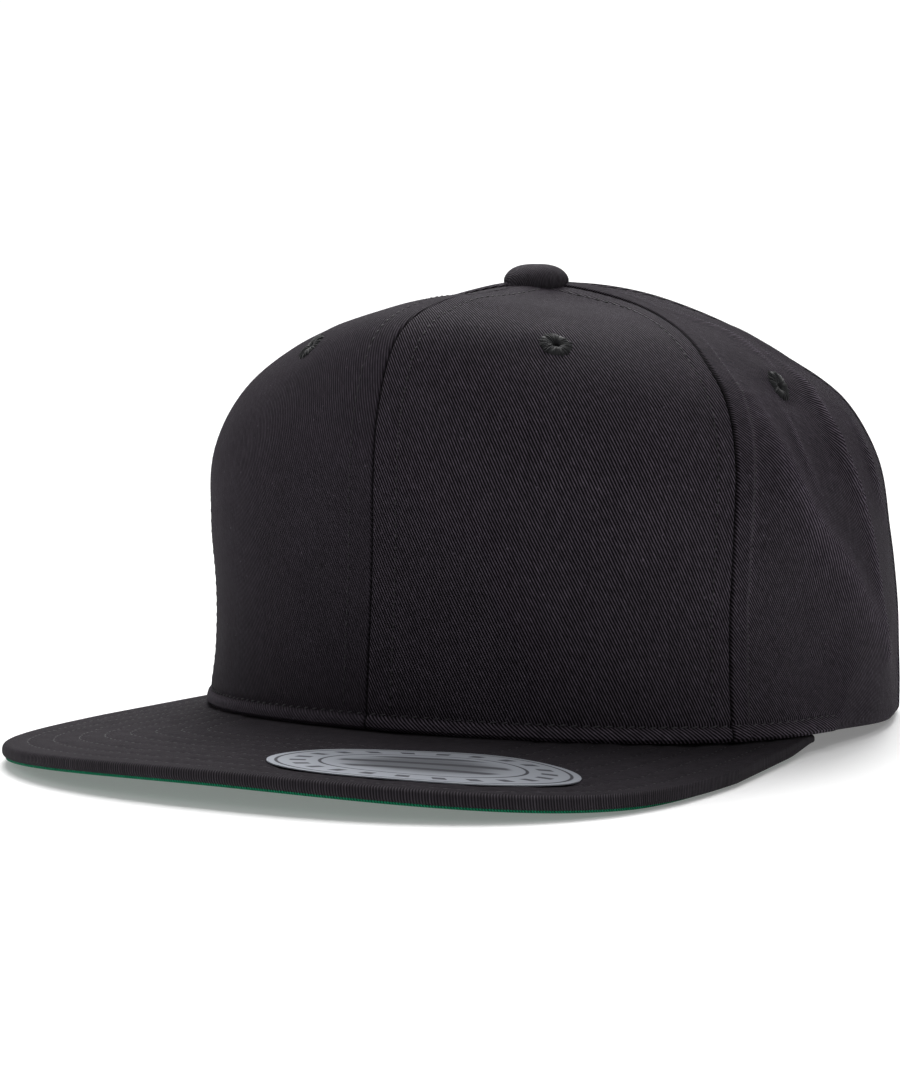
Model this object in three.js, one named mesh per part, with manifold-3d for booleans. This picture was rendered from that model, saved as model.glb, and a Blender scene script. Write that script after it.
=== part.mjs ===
// A six-panel snapback cap with a flat peak.
// Millimetres, +Z up. The front is towards -Y and the wearer's left is towards +X.
// A place on the crown is an azimuth, in degrees from the front round to the wearer's left, and a
// climb, in degrees from 0 at the rim to 90 at the button.
import * as THREE from "three";
import { mergeVertices } from "three/addons/utils/BufferGeometryUtils.js";
import Module from "manifold-3d";

const wasm = await Module();
wasm.setup();

// Crown
const rimHalfWidth = 87;
const rimFront = 97.5;
const rimBack = 105.5;
const crownHeight = 114.5;
const crownTopForward = 10.8;
const frontCloth = 2.0;
const sideCloth = 1.4;
const topHoleRadius = 5;

// Seams and folds
const seamGap = 0.4;
const seamDip = 0.7;
const seamDipWidth = 4;
const foldHeight = 2.6;
const foldWidth = 6.5;

// Arch opening behind
const archHalfWidth = 46;
const archHeight = 48;

// Peak
const peakHalfWidth = 90.7;
const peakReach = 164;
const peakSideReach = 79;
const peakFrontHeight = 8.7;
const peakDroop = 4.8;
const peakCoverThickness = 2.5;
const peakEdgeRound = 1.1;
const peakEndAzimuth = 77;
const rimLevelAzimuth = 125;
const undersideThickness = 0.9;
const undersideInset = 0.5;

// Sticker on the peak
const labelHalfLength = 36;
const labelHalfWidth = 19.4;
const labelThickness = 0.4;
const labelAside = 37;
const labelForward = 131;
const labelTurn = 21;

// Top button
const buttonRadius = 8.3;
const buttonHeight = 5.4;
const buttonRim = 1.2;
const buttonStemRadius = 4;
const washerRadius = 7.5;
const washerThickness = 1.2;

// Sewn eyelets
const eyeletRadius = 4.4;
const eyeletHeight = 0.9;
const eyeletBarrelRadius = 2.1;
const eyeletBore = 1.0;

// Sweatband
const bandHeight = 30;
const bandThickness = 1.0;
const bandLift = 1.0;
const bandEndClearance = 4.5;

// Snap strap
const strapHeight = 19;
const strapLift = 1.0;
const strapThickness = 1.2;
const strapTuck = 12;
const snapPitch = 9;
const snapCount = 7;
const snapsJoined = 4;
const snapHoleRadius = 2.7;
const snapHeadHeight = 1.0;
const strapEndMargin = 6;

// Clearance between neighbouring pieces, and between the crown's wall and what curves along inside it
const gap = 0.3;
const insideGap = 0.5;

// Shares of the rim's reach that the crown has at each climb, for four azimuths: 0, 60, 120 and 180
const crownProfile = [
  { climb: 0, front: 0.98, side: 1.01, rearSide: 1.0, back: 1.0 },
  { climb: 8, front: 0.98, side: 1.0, rearSide: 1.01, back: 1.0 },
  { climb: 16, front: 0.99, side: 1.025, rearSide: 1.035, back: 1.02 },
  { climb: 24, front: 1.02, side: 1.085, rearSide: 1.07, back: 1.05 },
  { climb: 32, front: 1.075, side: 1.145, rearSide: 1.12, back: 1.08 },
  { climb: 40, front: 1.13, side: 1.15, rearSide: 1.13, back: 1.09 },
  { climb: 50, front: 1.16, side: 1.11, rearSide: 1.085, back: 1.07 },
  { climb: 62, front: 1.095, side: 1.045, rearSide: 1.045, back: 1.04 },
  { climb: 75, front: 1.02, side: 0.995, rearSide: 1.02, back: 1.01 },
  { climb: 90, front: 1.0, side: 1.0, rearSide: 1.0, back: 1.0 },
];
const profileStep = 60;

// Azimuth of the two seams on each half, at each climb
const seamTable = [
  { climb: 0, side: 59.4, rear: 121 },
  { climb: 28, side: 61.6, rear: 122 },
  { climb: 41, side: 66, rear: 123 },
  { climb: 50, side: 69.5, rear: 125 },
  { climb: 62, side: 78, rear: 129 },
  { climb: 74, side: 88, rear: 136 },
  { climb: 90, side: 90, rear: 140 },
];

// Folds of the soft side panels: the line that each crest follows, as azimuth and climb, with its
// height and width as shares of foldHeight and foldWidth
const folds = [
  { name: "from the eyelet to the rear corner", height: 1.0, width: 1.5,
    crest: [[84, 40], [77, 34], [78, 27], [86, 19], [97, 12], [107, 6]] },
  { name: "behind the eyelet", height: 1.0, width: 0.9,
    crest: [[86, 42], [88, 36], [91, 29.5], [94, 23], [98, 16], [104, 11]] },
  { name: "from the top to the eyelet", height: 0.7, width: 0.8,
    crest: [[92, 60], [89, 53], [86.5, 47]] },
  { name: "in front of the rear seam", height: 0.7, width: 0.8,
    crest: [[106, 38], [101, 33], [100, 28], [108, 22]] },
];

const eyelets = [
  { name: "eyelet_front_left", panel: "panel_front_left", azimuth: 35, climb: 51.5 },
  { name: "eyelet_front_right", panel: "panel_front_right", azimuth: -29, climb: 49.5 },
  { name: "eyelet_side_left", panel: "panel_side_left", azimuth: 84.5, climb: 43.5 },
  { name: "eyelet_side_right", panel: "panel_side_right", azimuth: -84.5, climb: 43.5 },
  { name: "eyelet_back_left", panel: "panel_back_left", azimuth: 148, climb: 54 },
  { name: "eyelet_back_right", panel: "panel_back_right", azimuth: -148, climb: 54 },
];

const blackTwill = { color: 0x1d1b1f, roughness: 0.9, metalness: 0 };
const greenTwill = { color: 0x17452f, roughness: 0.9, metalness: 0 };
const silverPaper = { color: 0x9a9da3, roughness: 0.35, metalness: 0.4 };
const blackPlastic = { color: 0x141416, roughness: 0.45, metalness: 0 };

// Sides of the small round pieces and holes
const roundSides = 10;

const degree = Math.PI / 180;
// Azimuth straight behind, half a turn from the front
const behind = Math.PI / degree;
const sin = (angle) => Math.sin(angle * degree);
const cos = (angle) => Math.cos(angle * degree);
const clamp = THREE.MathUtils.clamp;
const mix = THREE.MathUtils.lerp;
const ease = THREE.MathUtils.smoothstep;

function tableCurve(table, at, columns) {
  const places = table.map((row) => row[at]);
  const values = table.flatMap((row) => columns.map((column) => row[column]));
  const curve = new THREE.CubicInterpolant(places, values, columns.length);
  curve.settings = { endingStart: THREE.ZeroCurvatureEnding, endingEnd: THREE.ZeroSlopeEnding };
  return (place) => curve.evaluate(place);
}

const profileAt = tableCurve(crownProfile, "climb", ["front", "side", "rearSide", "back"]);
const seamsAt = tableCurve(seamTable, "climb", ["side", "rear"]);

// The crown's reach at a climb, blended round the head between the profile's four columns
function crownShare(azimuth, climb) {
  const turn = Math.abs(THREE.MathUtils.euclideanModulo(azimuth + 180, 360) - 180);
  let share = 0;
  profileAt(climb).forEach((value, column) => {
    const away = Math.min(Math.abs(turn - column * profileStep) / profileStep, 1);
    share += value * (1 + Math.cos(Math.PI * away)) / 2;
  });
  return share;
}

function peakTop(x) {
  return peakFrontHeight - peakDroop * (x / peakHalfWidth) ** 2;
}

// The rim stands on the peak in front, and comes down to the resting surface behind it
function rimHeight(azimuth) {
  const x = rimHalfWidth * sin(azimuth) * crownShare(azimuth, 0);
  return ease(cos(azimuth), cos(rimLevelAzimuth), cos(peakEndAzimuth)) * (peakTop(x) + gap);
}

function crownPoint(azimuth, climb) {
  const share = crownShare(azimuth, climb);
  const across = share * cos(climb);
  const up = share * sin(climb);
  const reach = cos(azimuth) > 0 ? rimFront : rimBack;
  const rim = rimHeight(azimuth);
  return new THREE.Vector3(
    rimHalfWidth * sin(azimuth) * across,
    -reach * cos(azimuth) * across - crownTopForward * clamp(up, 0, 1) ** 2,
    rim + (crownHeight - rim) * up,
  );
}

function crownNormal(azimuth, climb) {
  const reach = 0.5;
  const low = Math.max(climb - reach, 0);
  const high = Math.min(climb + reach, 89.5);
  const round = crownPoint(azimuth + reach, climb).sub(crownPoint(azimuth - reach, climb));
  const rise = crownPoint(azimuth, high).sub(crownPoint(azimuth, low));
  return round.cross(rise).normalize();
}

// A point at a depth inside the crown's outer surface; at the rim it stays level with the edge
function wallPoint(azimuth, climb, depth) {
  const point = crownPoint(azimuth, climb);
  const normal = crownNormal(azimuth, climb);
  if (climb === 0) normal.setZ(0).normalize();
  return point.addScaledVector(normal, -depth);
}

const foldLines = folds.map((fold) => {
  const crest = fold.crest.map(([azimuth, climb]) => crownPoint(azimuth, climb));
  const points = new THREE.CatmullRomCurve3(crest).getPoints(6 * crest.length);
  return { points, height: fold.height * foldHeight, width: fold.width * foldWidth };
});

// How far the folds lift the cloth at a place; both halves have the same folds
function foldRise(azimuth, climb) {
  const place = crownPoint(Math.abs(azimuth), climb);
  let rise = 0;
  for (const line of foldLines) {
    let nearest = Infinity;
    let along = 0;
    line.points.forEach((point, index) => {
      const distance = point.distanceTo(place);
      if (distance < nearest) {
        nearest = distance;
        along = index / (line.points.length - 1);
      }
    });
    const fade = 0.35 + 0.65 * Math.sin(Math.PI * clamp(along, 0.05, 0.95));
    rise = Math.max(rise, line.height * fade * Math.exp(-((nearest / line.width) ** 2)));
  }
  return rise;
}

// One closed body from an outside and an inside grid, with walls round its four edges
function shell(columns, rows, outside, inside) {
  const positions = [];
  for (const side of [outside, inside]) {
    for (let row = 0; row <= rows; row++) {
      for (let column = 0; column <= columns; column++) {
        positions.push(...side(column / columns, row / rows).toArray());
      }
    }
  }
  const width = columns + 1;
  const layer = width * (rows + 1);
  const faces = [];
  const quad = (a, b, c, d) => faces.push(a, b, c, a, c, d);
  for (let row = 0; row < rows; row++) {
    for (let column = 0; column < columns; column++) {
      const corner = row * width + column;
      quad(corner, corner + 1, corner + width + 1, corner + width);
      quad(layer + corner, layer + corner + width, layer + corner + width + 1, layer + corner + 1);
    }
  }
  for (let column = 0; column < columns; column++) {
    const top = rows * width + column;
    quad(column, layer + column, layer + column + 1, column + 1);
    quad(top, top + 1, layer + top + 1, layer + top);
  }
  for (let row = 0; row < rows; row++) {
    const left = row * width;
    const right = left + columns;
    quad(left, left + width, layer + left + width, layer + left);
    quad(right, layer + right, layer + right + width, right + width);
  }
  return outwards(positions, faces);
}

// The geometry with its faces turned outwards, whichever way round the grids ran
function outwards(positions, faces) {
  const [a, b, c] = [new THREE.Vector3(), new THREE.Vector3(), new THREE.Vector3()];
  let volume = 0;
  for (let index = 0; index < faces.length; index += 3) {
    a.fromArray(positions, 3 * faces[index]);
    b.fromArray(positions, 3 * faces[index + 1]);
    c.fromArray(positions, 3 * faces[index + 2]);
    volume += a.dot(b.cross(c));
  }
  if (volume < 0) faces.reverse();
  const geometry = new THREE.BufferGeometry();
  geometry.setAttribute("position", new THREE.Float32BufferAttribute(positions, 3));
  geometry.setIndex(faces);
  return geometry;
}

function toManifold(geometry) {
  const bare = new THREE.BufferGeometry();
  bare.setAttribute("position", geometry.getAttribute("position").clone());
  if (geometry.index) bare.setIndex(geometry.index.clone());
  const merged = mergeVertices(bare, 1e-4);
  const vertProperties = new Float32Array(merged.getAttribute("position").array);
  const triVerts = new Uint32Array(merged.index.array);
  return new wasm.Manifold(new wasm.Mesh({ numProp: 3, vertProperties, triVerts }));
}

function fromManifold(solid) {
  const mesh = solid.getMesh();
  const geometry = new THREE.BufferGeometry();
  geometry.setAttribute("position", new THREE.Float32BufferAttribute(mesh.vertProperties, 3));
  geometry.setIndex([...mesh.triVerts]);
  return geometry;
}

const cutAway = (geometry, tools) => fromManifold(
  tools.reduce((solid, tool) => solid.subtract(toManifold(tool)), toManifold(geometry)),
);
const joined = (geometry, additions) => fromManifold(
  additions.reduce((solid, addition) => solid.add(toManifold(addition)), toManifold(geometry)),
);

// A turned shape whose axis, Y in its profile, points out of the crown at a place
function standOnCrown(geometry, azimuth, climb, depth = 0) {
  const outward = crownNormal(azimuth, climb);
  const turn = new THREE.Quaternion().setFromUnitVectors(new THREE.Vector3(0, 1, 0), outward);
  const place = wallPoint(azimuth, climb, depth);
  return geometry.applyQuaternion(turn).translate(place.x, place.y, place.z);
}

const turned = (profile, segments) => new THREE.LatheGeometry(
  profile.map(([radius, height]) => new THREE.Vector2(radius, height)),
  segments,
);

const cap = new THREE.Group();

function addPiece(name, geometry, finish) {
  const material = new THREE.MeshStandardMaterial(finish);
  const piece = new THREE.Mesh(geometry, material);
  piece.name = name;
  geometry.computeVertexNormals();
  cap.add(piece);
}

const eyeletPlaces = new Map(eyelets.map((eyelet) => {
  const climb = eyelet.climb;
  const lift = foldRise(eyelet.azimuth, climb);
  return [eyelet.name, { ...eyelet, depth: eyelet.panel.includes("side") ? -lift : 0 }];
}));

// Crown panels
const topClimb = Math.acos(topHoleRadius / rimHalfWidth) / degree;
const crownPanels = [
  { name: "front", cloth: frontCloth, from: () => 0, to: (climb) => seamsAt(climb)[0] },
  { name: "side", cloth: sideCloth, from: (climb) => seamsAt(climb)[0],
    to: (climb) => seamsAt(climb)[1] },
  { name: "back", cloth: sideCloth, from: (climb) => seamsAt(climb)[1], to: () => behind },
];

function archTool() {
  const outline = new THREE.Shape();
  outline.moveTo(archHalfWidth, -gap - strapLift);
  outline.absellipse(0, 0, archHalfWidth, archHeight, 0, Math.PI);
  outline.lineTo(-archHalfWidth, -gap - strapLift);
  const depth = rimBack;
  const tool = new THREE.ExtrudeGeometry(outline, { depth, bevelEnabled: false, curveSegments: 14 });
  return tool.rotateX(Math.PI / 2).translate(0, 1.5 * depth, 0);
}

function eyeletHole(eyelet) {
  const radius = eyeletBarrelRadius + gap;
  const hole = new THREE.CylinderGeometry(radius, radius, 6 * frontCloth, roundSides);
  return standOnCrown(hole, eyelet.azimuth, eyelet.climb, eyelet.depth);
}

function panelGeometry(panel, hand) {
  const columns = 13;
  const rows = 14;
  const crowding = 0.1;
  // The columns crowd towards the seams, where the cloth dips
  const place = (u, v) => {
    const climb = topClimb * v;
    const share = u - crowding * Math.sin(2 * Math.PI * u);
    const from = panel.from(climb);
    const to = panel.to(climb);
    const middle = (from + to) / 2;
    const perDegree = crownPoint(middle + 0.5, climb).distanceTo(crownPoint(middle - 0.5, climb));
    const margin = seamGap / 2 / perDegree;
    const azimuth = mix(from + margin, to - margin, share);
    const fromSeam = Math.min(azimuth - from, to - azimuth) * perDegree;
    const dip = seamDip * clamp(1 - fromSeam / seamDipWidth, 0, 1) ** 2;
    const lift = panel.name === "side" ? foldRise(azimuth, climb) : 0;
    return { azimuth: hand * azimuth, climb, dip, lift };
  };
  const outside = (u, v) => {
    const { azimuth, climb, dip, lift } = place(u, v);
    return wallPoint(azimuth, climb, dip - lift);
  };
  const inside = (u, v) => {
    const { azimuth, climb, lift } = place(u, v);
    return wallPoint(azimuth, climb, panel.cloth - lift);
  };
  return shell(columns, rows, outside, inside);
}

for (const panel of crownPanels) {
  for (const [side, hand] of [["left", 1], ["right", -1]]) {
    const name = `panel_${panel.name}_${side}`;
    const tools = [...eyeletPlaces.values()].filter((eyelet) => eyelet.panel === name).map(eyeletHole);
    if (panel.name === "back") tools.push(archTool());
    addPiece(name, cutAway(panelGeometry(panel, hand), tools), blackTwill);
  }
}

// Peak: its outline runs from the right end of the junction round the front to the left end
const curvedShare = 0.8;
const outlineSideSquareness = 0.81;
const outlineFrontSquareness = 0.66;

function peakOutline(along) {
  const side = Math.sign(along);
  if (Math.abs(along) <= curvedShare) {
    const angle = 90 * Math.abs(along) / curvedShare;
    const x = side * peakHalfWidth * sin(angle) ** outlineSideSquareness;
    const curved = peakReach - peakSideReach;
    return new THREE.Vector2(x, -peakSideReach - curved * Math.max(cos(angle), 0) ** outlineFrontSquareness);
  }
  const back = (Math.abs(along) - curvedShare) / (1 - curvedShare);
  const end = wallPoint(side * peakEndAzimuth, 0, -peakEdgeRound);
  return new THREE.Vector2(side * peakHalfWidth, -peakSideReach).lerp(new THREE.Vector2(end.x, end.y), back);
}

function peakInner(along) {
  const point = wallPoint(along * peakEndAzimuth, 0, frontCloth + insideGap + bandThickness);
  return new THREE.Vector2(point.x, point.y);
}

// One layer of the peak; its last row is the outline, set in by inset, and its edges are rounded
function peakLayer(topDepth, thickness, inset, edgeRound) {
  const columns = 36;
  const rows = 5;
  const level = (u, v, depth, rounding) => {
    const along = 2 * u - 1;
    const inner = peakInner(along);
    const outer = peakOutline(along);
    const width = inner.distanceTo(outer);
    const edge = 1 - inset / width;
    const beforeEdge = edge - edgeRound / width;
    const row = Math.round(v * rows);
    const share = row === rows ? edge : beforeEdge * row / (rows - 1);
    const flat = inner.lerp(outer, share);
    const z = peakTop(flat.x) - depth - (row === rows ? rounding : 0);
    return new THREE.Vector3(flat.x, flat.y, z);
  };
  return shell(
    columns,
    rows,
    (u, v) => level(u, v, topDepth, edgeRound),
    (u, v) => level(u, v, topDepth + thickness, -edgeRound / 3),
  );
}

const undersideDepth = peakCoverThickness + gap;
addPiece("peak", peakLayer(0, peakCoverThickness, 0, peakEdgeRound), blackTwill);
addPiece(
  "peak_underside",
  peakLayer(undersideDepth, undersideThickness, undersideInset, undersideThickness / 4),
  greenTwill,
);

// Sticker: a square grid drawn out to an oval and laid on the peak
function labelGeometry() {
  const level = (u, v, lift) => {
    const a = 2 * u - 1;
    const b = 2 * v - 1;
    const flat = new THREE.Vector2(
      labelHalfLength * a * Math.sqrt(1 - b * b / 2),
      labelHalfWidth * b * Math.sqrt(1 - a * a / 2),
    );
    flat.rotateAround(new THREE.Vector2(), labelTurn * degree);
    flat.add(new THREE.Vector2(labelAside, -labelForward));
    return new THREE.Vector3(flat.x, flat.y, peakTop(flat.x) + lift);
  };
  return shell(12, 8, (u, v) => level(u, v, gap + labelThickness), (u, v) => level(u, v, gap));
}

addPiece("peak_label", labelGeometry(), silverPaper);

// Top button: the washer inside, the stem through the hole and the dome, in one turned profile
function buttonGeometry() {
  const washerClimb = Math.acos(washerRadius / rimHalfWidth) / degree;
  const fallsAway = [0, 60, 120, 180].map((azimuth) => crownHeight - crownPoint(azimuth, washerClimb).z);
  const washerTop = -frontCloth - gap - Math.max(...fallsAway);
  const profile = [
    [0, washerTop - washerThickness],
    [washerRadius, washerTop - washerThickness],
    [washerRadius, washerTop],
    [buttonStemRadius, washerTop],
    [buttonStemRadius, gap],
    [buttonRadius - buttonRim / 2, gap],
  ];
  const domeSteps = 6;
  for (let step = 0; step <= domeSteps; step++) {
    const angle = 90 * step / domeSteps;
    const height = gap + buttonRim + (buttonHeight - gap - buttonRim) * sin(angle);
    profile.push([step === domeSteps ? 0 : buttonRadius * cos(angle), height]);
  }
  const top = crownPoint(0, 90);
  return turned(profile, 20).rotateX(Math.PI / 2).translate(top.x, top.y, top.z);
}

addPiece("top_button", fromManifold(toManifold(buttonGeometry())), blackTwill);

// Eyelets: a flange on the cloth and a barrel through its hole, turned round an open bore
function eyeletGeometry(eyelet) {
  const cloth = eyelet.panel.includes("front") ? frontCloth : sideCloth;
  const profile = [
    [eyeletBore, -cloth],
    [eyeletBarrelRadius, -cloth],
    [eyeletBarrelRadius, gap],
    [eyeletRadius, gap],
    [eyeletRadius - 0.3 * eyeletHeight, gap + 0.7 * eyeletHeight],
    [(eyeletRadius + eyeletBore) / 2, gap + eyeletHeight],
    [eyeletBore, gap + 0.5 * eyeletHeight],
    [eyeletBore, -cloth],
  ];
  return standOnCrown(turned(profile, roundSides), eyelet.azimuth, eyelet.climb, eyelet.depth);
}

for (const eyelet of eyeletPlaces.values()) {
  addPiece(eyelet.name, fromManifold(toManifold(eyeletGeometry(eyelet))), blackTwill);
}

// A band along the inside of the rim, from one azimuth to another
function bandGeometry(columns, from, to, lift, height, depthAt, thickness) {
  const rows = 2;
  const low = Math.asin(lift / crownHeight) / degree;
  const high = Math.asin((lift + height) / crownHeight) / degree;
  const level = (u, v, inward) => {
    const azimuth = mix(from, to, u);
    return wallPoint(azimuth, mix(low, high, v), depthAt(azimuth) + inward);
  };
  return shell(columns, rows, (u, v) => level(u, v, 0), (u, v) => level(u, v, thickness));
}

// The sweatband ends in front of the straps, which tuck in past the arch's foot
const stepAt = (azimuth) => crownPoint(azimuth + 0.5, 0).distanceTo(crownPoint(azimuth - 0.5, 0));
const archAzimuth = behind - Math.asin(archHalfWidth / rimHalfWidth) / degree;
const tuckAzimuth = strapTuck / stepAt(archAzimuth);
const bandDepth = frontCloth + insideGap;
const bandEnd = archAzimuth - tuckAzimuth - bandEndClearance / stepAt(archAzimuth);
addPiece(
  "sweatband",
  bandGeometry(40, -bandEnd, bandEnd, bandLift, bandHeight, () => bandDepth, bandThickness),
  blackTwill,
);

// Snap strap: azimuths run on past half a turn to the wearer's right half
const snapStep = snapPitch / stepAt(behind);
const snapPlaces = 2 * snapCount - snapsJoined;
const snapAzimuth = (index) => behind + (index - (snapPlaces - 1) / 2) * snapStep;
const strapClimb = Math.asin((strapLift + strapHeight / 2) / crownHeight) / degree;
const endMargin = strapEndMargin / stepAt(behind);
const outerDepth = sideCloth + insideGap;
const innerDepth = outerDepth + strapThickness + gap;
const outerStrapEnd = snapAzimuth(snapCount - 1) + endMargin;
const innerStrapEnd = snapAzimuth(snapPlaces - snapCount) - endMargin;
const pegStrapTuck = 2 * behind - archAzimuth + tuckAzimuth;

// The strap with the pegs lies inside the other one, and comes out to the panel past its end
const pegStrapDepth = (azimuth) => mix(
  innerDepth,
  outerDepth,
  ease(azimuth, outerStrapEnd + snapStep / 2, pegStrapTuck - tuckAzimuth / 2),
);

function snapHole(azimuth) {
  const tool = new THREE.CylinderGeometry(snapHoleRadius, snapHoleRadius, 4 * strapThickness, roundSides);
  return standOnCrown(tool, azimuth, strapClimb, outerDepth + strapThickness / 2);
}

function snapPeg(azimuth) {
  const radius = snapHoleRadius - gap - 0.1;
  const head = strapThickness / 2 + gap + strapThickness + snapHeadHeight;
  const profile = [[0, 0], [radius, 0], [radius, head - radius / 4], [0.75 * radius, head], [0, head]];
  const middle = pegStrapDepth(azimuth) + strapThickness / 2;
  return standOnCrown(turned(profile, roundSides), azimuth, strapClimb, middle);
}

const snapIndexes = [...Array(snapCount).keys()];
const holes = snapIndexes.map((index) => snapHole(snapAzimuth(index)));
const pegs = snapIndexes.map((index) => snapPeg(snapAzimuth(snapPlaces - 1 - index)));
const holeStrap = bandGeometry(
  16, archAzimuth - tuckAzimuth, outerStrapEnd, strapLift, strapHeight, () => outerDepth, strapThickness,
);
const pegStrap = bandGeometry(
  16, innerStrapEnd, pegStrapTuck, strapLift, strapHeight, pegStrapDepth, strapThickness,
);
addPiece("strap_holes", cutAway(holeStrap, holes), blackPlastic);
addPiece("strap_pegs", joined(pegStrap, pegs), blackPlastic);

// The origin is the middle of the footprint, on the surface that the cap rests on
const bounds = new THREE.Box3().setFromObject(cap);
const middle = bounds.getCenter(new THREE.Vector3());
cap.position.set(-middle.x, -middle.y, -bounds.min.z);

export default cap;
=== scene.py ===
"""A six-panel snapback cap: twill panels, stitched peak, sewn eyelets, button, sticker and snap strap."""

import math
from collections import namedtuple

import bpy
import numpy as np
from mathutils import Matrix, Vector


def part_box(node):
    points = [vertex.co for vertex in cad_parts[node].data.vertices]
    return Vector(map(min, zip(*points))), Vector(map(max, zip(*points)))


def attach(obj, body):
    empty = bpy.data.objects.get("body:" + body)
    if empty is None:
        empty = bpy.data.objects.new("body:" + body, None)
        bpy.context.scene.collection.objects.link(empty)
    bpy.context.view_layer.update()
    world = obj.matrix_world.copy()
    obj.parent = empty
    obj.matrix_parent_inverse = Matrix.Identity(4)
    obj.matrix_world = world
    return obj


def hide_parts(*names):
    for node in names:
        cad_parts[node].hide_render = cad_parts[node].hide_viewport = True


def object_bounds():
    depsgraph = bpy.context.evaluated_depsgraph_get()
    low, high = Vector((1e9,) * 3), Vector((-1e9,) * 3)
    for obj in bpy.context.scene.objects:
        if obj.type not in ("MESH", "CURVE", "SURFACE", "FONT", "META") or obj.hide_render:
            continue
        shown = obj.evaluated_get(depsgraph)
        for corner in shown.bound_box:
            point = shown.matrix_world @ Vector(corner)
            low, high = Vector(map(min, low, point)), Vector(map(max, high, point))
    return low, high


bl_info = {
    "name": "Snapback Cap",
    "version": (1, 0, 0),
    "blender": (4, 5, 0),
    "location": "View3D > Sidebar > Cap",
    "description": "Builds a six-panel snapback cap piece by piece",
    "category": "Add Mesh",
}

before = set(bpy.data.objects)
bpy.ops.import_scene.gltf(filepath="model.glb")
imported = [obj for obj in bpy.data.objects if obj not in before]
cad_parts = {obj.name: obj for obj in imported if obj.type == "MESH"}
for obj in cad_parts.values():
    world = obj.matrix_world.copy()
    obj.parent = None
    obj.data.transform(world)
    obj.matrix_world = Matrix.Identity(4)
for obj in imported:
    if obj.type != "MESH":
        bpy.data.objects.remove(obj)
CAD_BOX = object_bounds()

MM = 0.001

Profile = namedtuple("Profile", "climb ahead front_side rear_side behind")

# Shares of the rim's reach that the crown has at each climb, in degrees from the rim to the button
CROWN_PROFILE = (
    Profile(0, 0.98, 1.01, 1.0, 1.0),
    Profile(8, 0.98, 1.0, 1.01, 1.0),
    Profile(16, 0.99, 1.025, 1.035, 1.02),
    Profile(24, 1.02, 1.085, 1.07, 1.05),
    Profile(32, 1.075, 1.145, 1.12, 1.08),
    Profile(40, 1.13, 1.15, 1.13, 1.09),
    Profile(50, 1.16, 1.11, 1.085, 1.07),
    Profile(62, 1.095, 1.045, 1.045, 1.04),
    Profile(75, 1.02, 0.995, 1.02, 1.01),
    Profile(90, 1.0, 1.0, 1.0, 1.0),
)
PROFILE_AZIMUTHS = np.array([0, 60, 120, 180])

Seam = namedtuple("Seam", "climb side rear")

# Azimuths of the side seam and of the rear seam at each climb
SEAMS = (
    Seam(0, 59.4, 121),
    Seam(28, 61.6, 122),
    Seam(41, 66, 123),
    Seam(50, 69.5, 125),
    Seam(62, 78, 129),
    Seam(74, 88, 136),
    Seam(90, 90, 140),
)

Fold = namedtuple("Fold", "height width sharpness wear crest")

# Folds of the soft side panels: height and width as shares of the named ones, how sharp the crest is,
# how much a painted highlight lightens its crest, and the crest's azimuths and climbs
FOLDS = (
    Fold(
        1.0,
        1.1,
        1.3,
        0.45,
        ((72, 41), (71.5, 35.5), (73.5, 30.5), (77.5, 26), (83.5, 22.5), (92.5, 16), (104, 8.5)),
    ),
    Fold(0.3, 0.35, 1.1, 0.5, ((79, 40), (77.5, 37), (77, 33), (79, 29))),
    Fold(
        0.8,
        0.42,
        1.1,
        0.9,
        ((96, 55), (94, 46), (91.5, 40.5), (89.5, 34), (91.5, 29), (95, 22.5), (97, 16), (101, 9)),
    ),
    Fold(0.4, 0.35, 1.1, 0.8, ((96, 66), (94.5, 58.5), (90.5, 50), (88.5, 46.5))),
    Fold(0.6, 0.4, 1.1, 0.5, ((105, 38), (103, 33), (104, 28.5), (112, 24))),
    Fold(0.3, 0.7, 1.4, 0.0, ((108, 62), (112, 54), (113, 45))),
    Fold(-0.7, 1.9, 2.0, 0.0, ((75, 19), (81, 11), (89, 6))),
)

PanelCloth = namedtuple("PanelCloth", "puffs softness facet lean columns rows middle")

# How the cloth of each kind of panel behaves: the puff beside its front and rear seam and its softness
# as shares of the named ones, how much an eyelet's facet tips back, the ribs' lean in degrees, the
# grid's columns and rows, and the azimuth of its middle
PANELS = {
    "front": PanelCloth((0.12, 0.25), 0.4, 0.12, -63, 110, 130, 30.0),
    "side": PanelCloth((1.0, 0.8), 0.85, 0.7, -52, 120, 150, 90.0),
    "back": PanelCloth((0.8, 0.6), 1.05, 0.1, -60, 90, 130, 150.0),
}

# Lean of the ribs on the other cloths, in degrees
RIB_LEAN = {"peak": 38, "button": -34, "band": 62}

# Azimuth and climb of the air holes
EYELETS = {
    "eyelet_front_left": (35, 51.5),
    "eyelet_front_right": (-29, 49.5),
    "eyelet_side_left": (84.5, 43.5),
    "eyelet_side_right": (-84.5, 43.5),
    "eyelet_back_left": (148, 54),
    "eyelet_back_right": (-148, 54),
}


def length(name, description, default):
    return bpy.props.FloatProperty(
        name=name, description=description, default=default, unit="LENGTH", precision=5
    )


def number(name, description, default):
    return bpy.props.FloatProperty(name=name, description=description, default=default)


def angle(name, description, degrees):
    return bpy.props.FloatProperty(
        name=name, description=description, default=math.radians(degrees), subtype="ANGLE"
    )


def colour(name, description, default):
    return bpy.props.FloatVectorProperty(
        name=name, description=description, default=default, subtype="COLOR", min=0, max=1
    )


def count(name, description, default):
    return bpy.props.IntProperty(name=name, description=description, default=default, min=1)


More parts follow.
